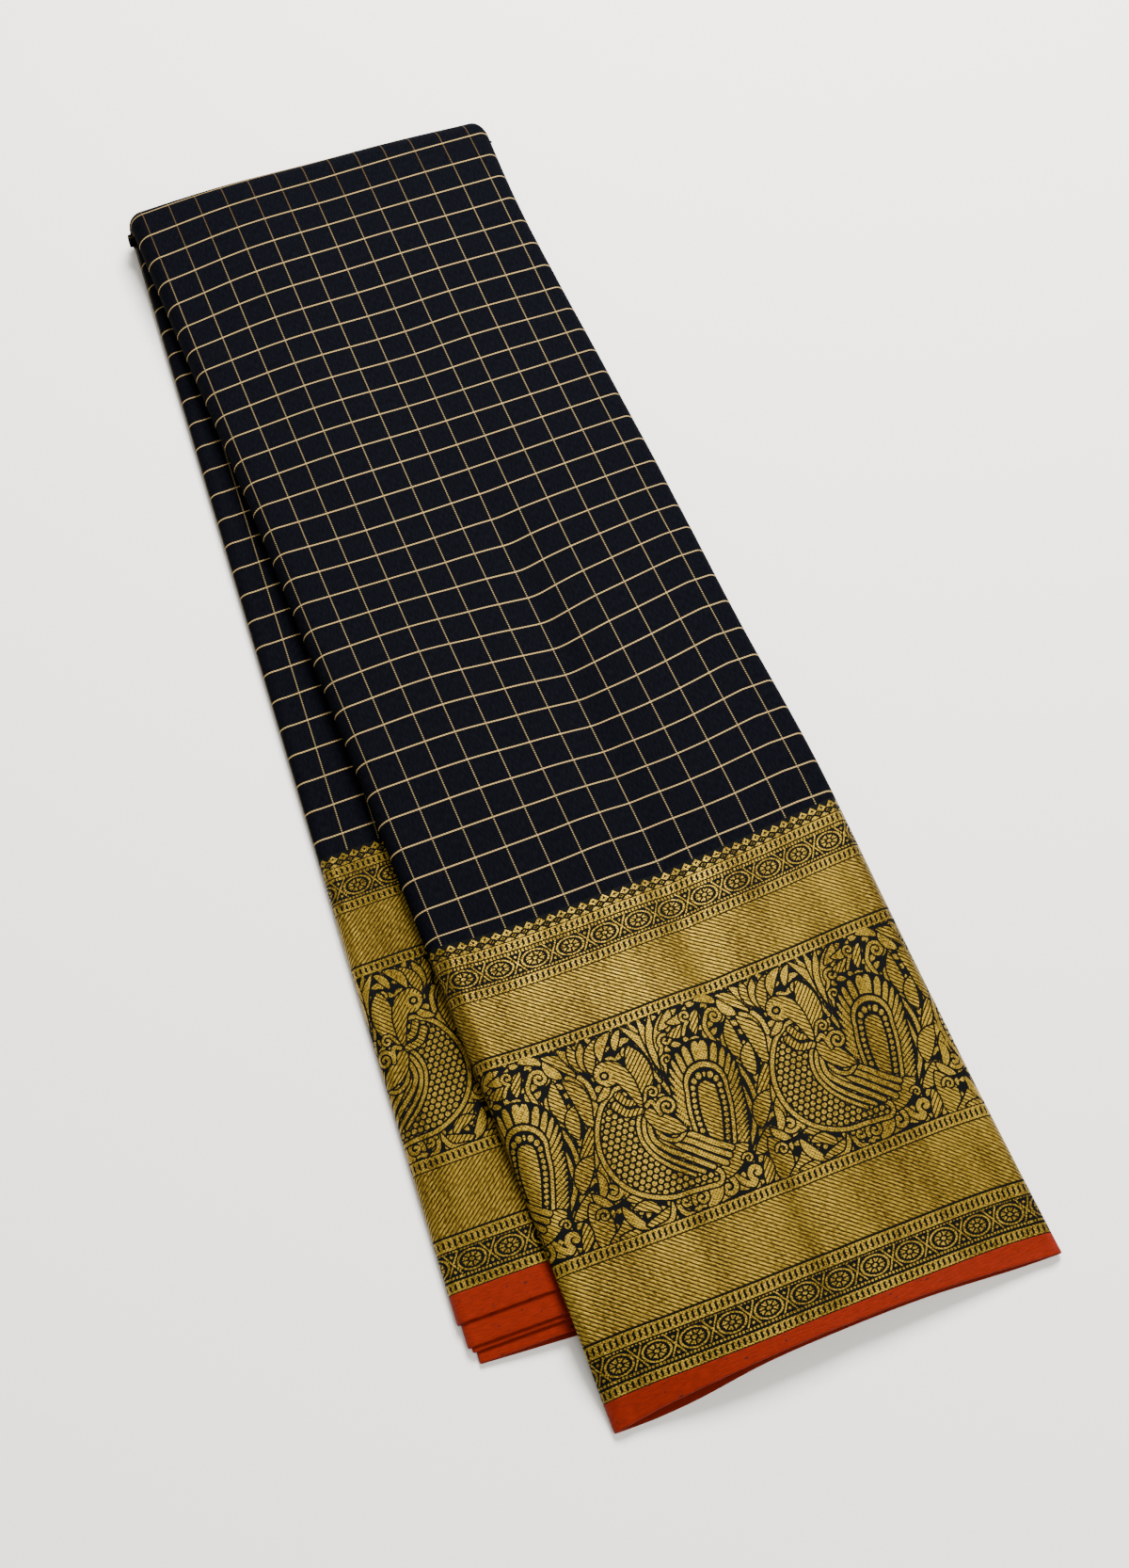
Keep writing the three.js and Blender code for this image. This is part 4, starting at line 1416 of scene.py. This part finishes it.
FIELD_STEP, HEM_STEP, BIRDS_STEP, BANDS_STEP, HIDDEN_STEP = 1.6, 1.2, 0.5, 0.4, 4.0  # places across
FIELD_ROWS, HIDDEN_ROWS = 190, 60
STRETCHES = (("_border_head", 0, 10), ("_border_birds", 10, 11), ("_border_foot", 11, 21))
WANDER_X = (1, 43, 99, 127, 169)  # where the shift of the check's rows is given, along the band
WANDER = (
    # y, and the shift at each of the x above
    (400, -0.3, 1.0, 1.4, 1.5, 2.2),
    (344, -1.5, 0.4, 0.9, 0.7, 0.5),
    (287, -1.2, -0.2, -0.9, -0.3, -1.5),
    (230, 0.6, 0.4, -0.2, -0.4, 0.3),
    (172, 1.9, -1.0, -1.0, -0.2, 1.2),
    (115, 2.3, 2.1, -3.0, -0.1, 5.6),
    (57, 2.9, 1.6, -1.9, -2.0, 4.1),
    (0, 1.4, 0.4, 1.3, 1.0, 4.3),
    (-14, 3.4, 0.7, 0.3, 1.0, 3.2),
)
DRIFT_X = (0, 43, 86, 129, 172)  # where the shift of the check's lines is given, across the band
DRIFT = (
    # y, and the shift at each of the x above
    (0, 1.8, 0.0, 0.0, 0.0, 4.0),
    (165, 1.4, -0.9, -1.9, -2.2, 0.2),
    (375, 1.8, 0.2, -0.4, -0.9, 1.0),
)


def wavering(table: Table, xs: Sequence[float], x: Array, y: Array) -> Array:
    """A table read as a smooth surface: a row for each y, and after it a value for each of xs."""
    return curve(xs, np.stack([line(y) for line in lines(table)]), x)


@dataclass
class SareeHalf:
    """Field, border and selvedge of one half, and how its pieces are declared.

    Attributes:
        half: The form of its outer cloth.
        finishes: The saree's finishes.
        prefix: Start of the pieces' names, as in the nodes'.
        near: 1 if b rises towards the near end, -1 if it falls.
        dense: The stretch that shows, as shares of the width.
        hand: 1 if the figures face left, -1 if they face right.
        shift: How far the border's figures are shifted across, mm.
        rosette: Where its first rosette lies, mm.
    """

    half: Half
    finishes: Finishes
    prefix: str
    near: float
    dense: tuple[float, float]
    hand: float
    shift: float
    rosette: float

    def check(self, u: Array, a: Array, b: Array) -> Array:
        """Weave position of the checked field, mm."""
        raise NotImplementedError

    def ring(self, step: float, fold: int = FOLD_PLACES) -> Ring:
        """A ring for the half's tube."""
        return Ring.spaced(step, self.dense, fold)

    def across(self, ring: Ring, points: Array, b: Array) -> Array:
        """Length of cloth across the half at each place, mm, equal to a in the middle of the top."""
        k = int(np.argmin(np.where(ring.over, np.abs(ring.f - 0.5), np.inf)))
        return across_length(points, k, self.half.at(ring.f[k], b[:, k]))

    def add(
        self, sheet: Sheet, name: str, node: str, slot: str, finish: bpy.types.Material, held: float = 1.0
    ) -> None:
        """Args:
            sheet: The grid of cloth.
            name: The piece's name.
            node: The CAD node that it stands for.
            slot: A slot name for its finish; not used.
            finish: Its material.
            held: Share of the grid's rows that count as the cloth's length, a half where both faces show.
        """
        piece = sheet.build(name + "_cloth")
        declare(piece, finish, node)
        along = np.linalg.norm(np.diff(sheet.points, axis=0), axis=2).sum(axis=0).mean()
        girth = np.linalg.norm(np.diff(sheet.points, axis=1), axis=2).sum(axis=1).mean()
        faces = len(piece.data.polygons)
        log.info("%s: %d faces, %.0f by %.0f mm flat", name, faces, girth / MM, along * held / MM)

    def field(self) -> None:
        """The checked field, from the far fold to the teeth."""
        ring = self.ring(FIELD_STEP)
        shares = np.linspace(0, 1, FIELD_ROWS)
        b = spread(self.half.far_line(ring.f), self.half.teeth_line(ring.f), shares)
        points = self.half.surface(ring, b)
        u = self.across(ring, points, b)
        sheet = Sheet(points, self.check(u, self.half.at(ring.f, b), b), closed=True)
        self.add(sheet, self.prefix + "_field", self.prefix + "_field", "field_silk", self.finishes.silk)

    def border(self, name: str, first: int, last: int) -> None:
        """A stretch of the border, from BANDS[first] to the one before BANDS[last]."""
        down = band_rows(first, last)
        step = BIRDS_STEP if last - first == 1 else BANDS_STEP
        ring = self.ring(step, 2 * FOLD_PLACES)
        b = spread(self.half.teeth_line(ring.f), self.half.selvedge_line(ring.f), down / BORDER)
        points = self.half.surface(ring, b)
        u = self.across(ring, points, b) * self.hand + self.shift
        v = np.repeat(down[:, None], len(ring.f), axis=1)
        sheet = Sheet(points, np.stack([u, v], axis=-1), closed=True, marks=ornament(u, v, self.rosette))
        self.add(sheet, self.prefix + name, self.prefix + "_border", "border_zari", self.finishes.zari)

    def outside(self) -> None:
        """The field and the three stretches of the border."""
        self.field()
        for name, first, last in STRETCHES:
            self.border(name, first, last)

    def hem(
        self,
        ring: Ring,
        name: str,
        start: Array,
        end: Array,
        inset: float = 0.0,
        drop: Line | float = 0.0,
    ) -> None:
        """A selvedge with both its faces: over its outside, round its edge and back inside.

        The edge is half a circle between the two faces, closed to nothing at the ends of an open ring.

        Args:
            ring: The places round it, a closed ring or a part of one.
            name: The piece's and its node's name.
            start: b of its hidden end at each place.
            end: b of its edge at each place.
            inset: How far inside the outer cloth it lies, mm.
            drop: How far its underside is let down again, mm: a number or a function of b.
        """
        rows, lip_rows = 12, 7
        shares = np.linspace(0, 1, rows)
        turn = np.linspace(-np.pi / 2, np.pi / 2, lip_rows)[1:-1]
        out = spread(start, end, shares)
        closed = bool(ring.f[0] == ring.f[-1] and ring.over[0] == ring.over[-1])
        open_at = np.ones_like(ring.f)
        if not closed:
            open_at[[0, -1]] = 0.0
        lip = end[None, :] + self.near * LIP * np.cos(turn)[:, None] * open_at
        back = spread(start - self.near * TUCK * closed, end, shares)[::-1]
        b = np.concatenate([out, lip, back])
        side = np.concatenate([np.full(rows, -1.0), np.sin(turn), np.ones(rows)])
        let = drop(b) if callable(drop) else np.full(b.shape, drop)
        points = self.half.surface(ring, b, inset + LIP * (1 + side[:, None] * open_at), let)
        points = np.concatenate([points, points[:1]])
        b = np.concatenate([b, b[:1]])
        u = self.across(ring, points, b)
        sheet = Sheet(points, np.stack([u, b], axis=-1), closed=closed, looped=True)
        self.add(sheet, name, name, "selvedge_silk", self.finishes.selvedge, 0.5)


class UpperCloth(SareeHalf):
    """The upper half's cloth."""

    def check(self, u: Array, a: Array, b: Array) -> Array:
        """The check wanders a few millimetres from its even pitch, as the cloth was laid."""
        return np.stack([u - wavering(DRIFT, DRIFT_X, a, b), b - wavering(WANDER, WANDER_X, a, b)], axis=-1)

    def build(self) -> None:
        """Field, border and selvedge, whose underside sticks out past the top where its mouth opens."""
        self.outside()
        ring = self.ring(HEM_STEP)
        x = self.half.sag_x(ring.f)
        rise = self.half.EDGE_RISE(x) - np.where(ring.over, 0.0, self.half.LIP_OUT(x))
        start, end = self.half.selvedge_line(ring.f), self.half.edge_line(ring.f) + rise
        self.hem(ring, "upper_selvedge", start, end)


class LowerCloth(SareeHalf):
    """The lower half's cloth, with the edges that step out from under its selvedge."""

    TUCKED = 12.0  # length of a stepped edge's hidden part, from the first edge inwards
    TURNED_UNDER = (0.03, 0.02, 0.012, 0.006, 0.002)  # shares of the width under the left side fold
    STEPS_TO = 0.95  # share of the width where the second and third edges end
    MOUTH = 2.5  # how far the lowest face sticks out in the middle
    LET_DOWN = {"after": 1.0, "over": 6.0}  # where the lowest face comes down by one more layer

    def check(self, u: Array, a: Array, b: Array) -> Array:
        """Rows counted from the border, and the first lengthwise line along the edge."""
        return np.stack([u + self.half.FIRST_LINE, self.half.ROWS - b], axis=-1)

    def build(self) -> None:
        """Field, border, selvedge and the stepped edges."""
        self.outside()
        ring = self.ring(FIELD_STEP)
        even = np.ones_like(ring.f)
        steps = self.half.STEPS
        hidden = steps["first"] - self.TUCKED
        self.hem(ring, "lower_selvedge_1", self.half.selvedge_line(ring.f), even * steps["first"])
        f = np.concatenate([self.TURNED_UNDER, ring.f[ring.over & (ring.f < self.STEPS_TO)]])
        part = Ring(f, np.arange(len(f)) >= len(self.TURNED_UNDER))
        across = np.ones_like(part.f)
        for number, step in ((1, "second"), (2, "third")):
            name = f"lower_selvedge_{number + 1}"
            self.hem(part, name, across * hidden, across * steps[step], NEST * number)
        mouth = np.where(ring.over, 0.0, self.MOUTH * np.sin(np.pi * ring.f))
        end = even * steps["fourth"] + mouth
        self.hem(ring, "lower_selvedge_4", even * hidden, end, NEST * 3, self.let_down)

    def let_down(self, b: Array) -> Array:
        """How far the fourth edge's underside is let down: two layers, and three past the first edge."""
        past = (b - self.half.STEPS["first"] - self.LET_DOWN["after"]) / self.LET_DOWN["over"]
        return NEST * (2 + ease(past))


@dataclass
class FarFold:
    """The cloth that goes round from the upper half to the lower one, and the layers inside it.

    Attributes:
        upper: The upper half's cloth.
        lower: The lower half's cloth.
        middle: Height of the fold's middle line, mm.
        edges: Share of the fold's radius, and how far that layer sticks out at each side, mm.
        shown_row: Weave position of the layers' middle, mm.
        loop: Length of cloth round the layers, mm.
        places_round: Rows of the outer cloth and of the layers, from top to foot.
    """

    upper: UpperCloth
    lower: LowerCloth
    middle: float = 13.75
    edges: tuple[tuple[float, float], ...] = (
        (0.12, 1.2),
        (0.30, 1.4),
        (0.34, -0.4),
        (0.50, -0.2),
        (0.54, 1.8),
        (0.70, 2.0),
        (0.74, 0.2),
        (0.90, 0.4),
    )
    shown_row: float = 3.0
    loop: float = 24.0
    places_round: tuple[int, int] = (29, 25)

    def line(self, f: Array, angle: Array, share: float = 1.0, depth: float = 0.0) -> Array:
        """Points round the fold: half circles about the middle height, as high as the pack is at each place.

        Args:
            f: Shares of the width.
            angle: From a quarter turn at the top to minus a quarter turn underneath.
            share: Part of the way out from the middle line.
            depth: Depth under the outer cloth, mm.

        Returns:
            Points in metres, angles by shares by 3.
        """
        over = Ring(f, np.ones(len(f), bool))
        under = Ring(f, np.zeros(len(f), bool))
        top = self.upper.half.surface(over, self.upper.half.far_line(f)[None, :])[0] / MM
        foot = self.lower.half.surface(under, self.lower.half.far_line(f)[None, :])[0] / MM
        up = ((1 + np.sin(angle)) / 2)[:, None]
        radius = ((self.middle - foot[:, 2]) * (1 - up) + (top[:, 2] - self.middle) * up - depth) * share
        x = foot[:, 0] * (1 - up) + top[:, 0] * up
        y = foot[:, 1] * (1 - up) + top[:, 1] * up + radius * np.cos(angle)[:, None]
        return np.stack([x, y, self.middle + radius * np.sin(angle)[:, None]], axis=-1) * MM

    def build(self) -> None:
        """The outer cloth: its check goes on from the upper half's."""
        ring = self.upper.ring(FIELD_STEP)
        f = ring.f[ring.over]
        points = self.line(f, np.linspace(np.pi / 2, -np.pi / 2, self.places_round[0]))
        steps = np.linalg.norm(np.diff(points, axis=0), axis=2) / MM
        run = np.concatenate([np.zeros((1, len(f))), np.cumsum(steps, axis=0)])
        k = int(np.argmin(np.abs(f - 0.5)))
        b = self.upper.half.far_line(f)[None, :]
        a = self.upper.half.at(f, b)
        u = across_length(points[:1], k, a[:, k])
        first = self.upper.check(u, a, b)
        weave = np.stack([np.broadcast_to(first[..., 0], run.shape), first[..., 1] + run], axis=-1)
        self.upper.add(Sheet(points, weave), "far_fold", "far_fold", "field_silk", self.upper.finishes.silk)
        self.layers(f)

    def layers(self, f: Array) -> None:
        """The layers inside the fold, stepped at both sides like the edges of nested loops."""
        angle = np.linspace(np.pi / 2, -np.pi / 2, self.places_round[1])

        def edge(place: Array, share: float, out: float) -> Array:
            """One column of places down the layers' edge, moved out sideways by so many mm."""
            return self.line(place, angle, share, NEST) + [out * MM, 0, 0]

        left = [edge(f[:1], share, -out) for share, out in self.edges]
        right = [edge(f[-1:], share, out) for share, out in self.edges[::-1]]
        points = np.concatenate([*left, self.line(f, angle, 1.0, NEST), *right], axis=1)
        across = across_length(points, len(left), np.zeros(len(angle)))
        around = np.repeat(angle[:, None] * self.loop / np.pi, points.shape[1], axis=1)
        weave = np.stack([across, around + self.shown_row], axis=-1)
        piece = Sheet(points, weave).build("fold_layers_cloth")
        declare(piece, self.upper.finishes.silk, "fold_layers")
        log.info("fold_layers: %d faces", len(piece.data.polygons))


@dataclass
class HiddenLayers:
    """The hidden layers of one half, as one rounded solid inside its outer cloth.

    Attributes:
        cloth: The half's cloth.
        name: The CAD node's name.
        recess: How far the solid ends inside the near edge, mm.
        cap: Shares of the way from the end's rim to its middle, a row for each.
        row: Weave length of a row, mm.
    """

    cloth: SareeHalf
    name: str
    recess: float
    cap: tuple[float, ...] = (0.3, 0.6, 0.9)
    row: float = 3.0

    def build(self) -> None:
        """A tube one layer inside the outer cloth, drawn in towards the middle at its near end."""
        half = self.cloth.half
        ring = self.cloth.ring(HIDDEN_STEP)
        end = half.edge_line(ring.f) - self.cloth.near * self.recess
        b = spread(half.far_line(ring.f), end, np.linspace(0, 1, HIDDEN_ROWS))
        body = half.surface(ring, b, NEST)
        rim = body[-1:]
        middle = rim.mean(axis=1, keepdims=True)
        points = np.concatenate([body, *(rim * (1 - t) + middle * t for t in self.cap)])
        u = self.cloth.across(ring, points, np.concatenate([b, *[b[-1:]] * len(self.cap)]))
        v = np.repeat(np.arange(len(points))[:, None] * self.row, len(ring.f), axis=1)
        piece = Sheet(points, np.stack([u, v], axis=-1), closed=True).build(self.name + "_cloth")
        # Its dark red finish is painted shade over the selvedge orange that its edges have.
        declare(piece, self.cloth.finishes.hidden, self.name)
        log.info("%s: %d faces", self.name, len(piece.data.polygons))


Triple = tuple[float, float, float]


@dataclass(frozen=True)
class Lamp:
    """A square area light: its place and size in metres, its turn in degrees and its power in watts."""

    name: str
    place: Triple
    turn: Triple
    size: float
    power: float

    def make(self) -> None:
        """Add the light."""
        data = bpy.data.lights.new(self.name, "AREA")
        data.shape = "SQUARE"
        data.size = self.size
        data.energy = self.power
        lamp = bpy.data.objects.new(self.name, data)
        lamp.location = self.place
        lamp.rotation_euler = Euler(np.radians(self.turn), "XYZ")
        bpy.context.scene.collection.objects.link(lamp)


class Studio:
    """A plain pale floor and soft light."""

    FLOOR = (0.955, 0.93, 0.86, 1)
    REACH = 3.0  # half the floor's side, metres
    LAMPS = (
        Lamp("key", (0.5, 0.75, 1.2), (-32, 22, 0), 0.6, 72.0),
        Lamp("fill", (0.3, -0.7, 1.4), (26, 11, 0), 1.2, 18.0),
    )
    AROUND = (1.0, 0.975, 0.93, 1)
    AROUND_STRENGTH = 0.4

    def make(self) -> None:
        """Add the floor, one broad light, a weaker one and the surrounding light."""
        corners = [(x * self.REACH, y * self.REACH, 0) for x, y in ((-1, -1), (1, -1), (1, 1), (-1, 1))]
        mesh = bpy.data.meshes.new("floor")
        mesh.from_pydata(corners, [], [(0, 1, 2, 3)])
        floor = bpy.data.objects.new("floor", mesh)
        bpy.context.scene.collection.objects.link(floor)
        n = Nodes("floor")
        mesh.materials.append(n.finish(Base_Color=self.FLOOR, Roughness=0.9, Specular_IOR_Level=0.1))
        for lamp in self.LAMPS:
            lamp.make()
        world = bpy.data.worlds.new("world")
        world.use_nodes = True
        sky = world.node_tree.nodes["Background"]
        sky.inputs["Color"].default_value = self.AROUND
        sky.inputs["Strength"].default_value = self.AROUND_STRENGTH
        bpy.context.scene.world = world


class Camera:
    """The camera at the photograph's place and angle, in the tables' axes."""

    PLACE = (-63.9, -246.7, 706.8)
    TURN = (24.595, -1.886, -22.685)  # degrees
    FOCAL = 1854.0  # pixels
    FRAME_HEIGHT = 1666.0  # pixels
    SENSOR = 36.0
    NEAREST = 0.01  # metres

    def make(self) -> None:
        """Add the camera and make it the scene's."""
        data = bpy.data.cameras.new("camera")
        data.sensor_fit = "VERTICAL"
        data.sensor_height = self.SENSOR
        data.lens = self.FOCAL * self.SENSOR / self.FRAME_HEIGHT
        data.clip_start = self.NEAREST
        camera = bpy.data.objects.new("camera", data)
        x, y, z = self.PLACE
        camera.location = ((x - CENTRE[0]) * MM, (y - CENTRE[1]) * MM, z * MM)
        camera.rotation_euler = Euler(np.radians(self.TURN), "XYZ")
        bpy.context.scene.collection.objects.link(camera)
        bpy.context.scene.camera = camera


def main() -> None:
    """Build the saree, its light and its camera, and note its size."""
    logging.basicConfig(level=logging.INFO, format="%(name)s %(message)s")
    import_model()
    Camera().make()
    Studio().make()
    finishes = Finishes.make()
    under = LowerHalf()
    upper = UpperCloth(
        UpperHalf(under), finishes, "upper", near=-1.0, dense=(0.0, 1.0), hand=1.0, shift=0.0, rosette=5.0
    )
    lower = LowerCloth(
        under, finishes, "lower", near=1.0, dense=(0.0, 0.24), hand=-1.0, shift=63.4, rosette=4.6
    )
    upper.build()
    lower.build()
    FarFold(upper, lower).build()
    HiddenLayers(upper, "upper_layers", recess=9.0).build()
    HiddenLayers(lower, "lower_layers", recess=14.3).build()


if __name__ == "__main__":
    main()
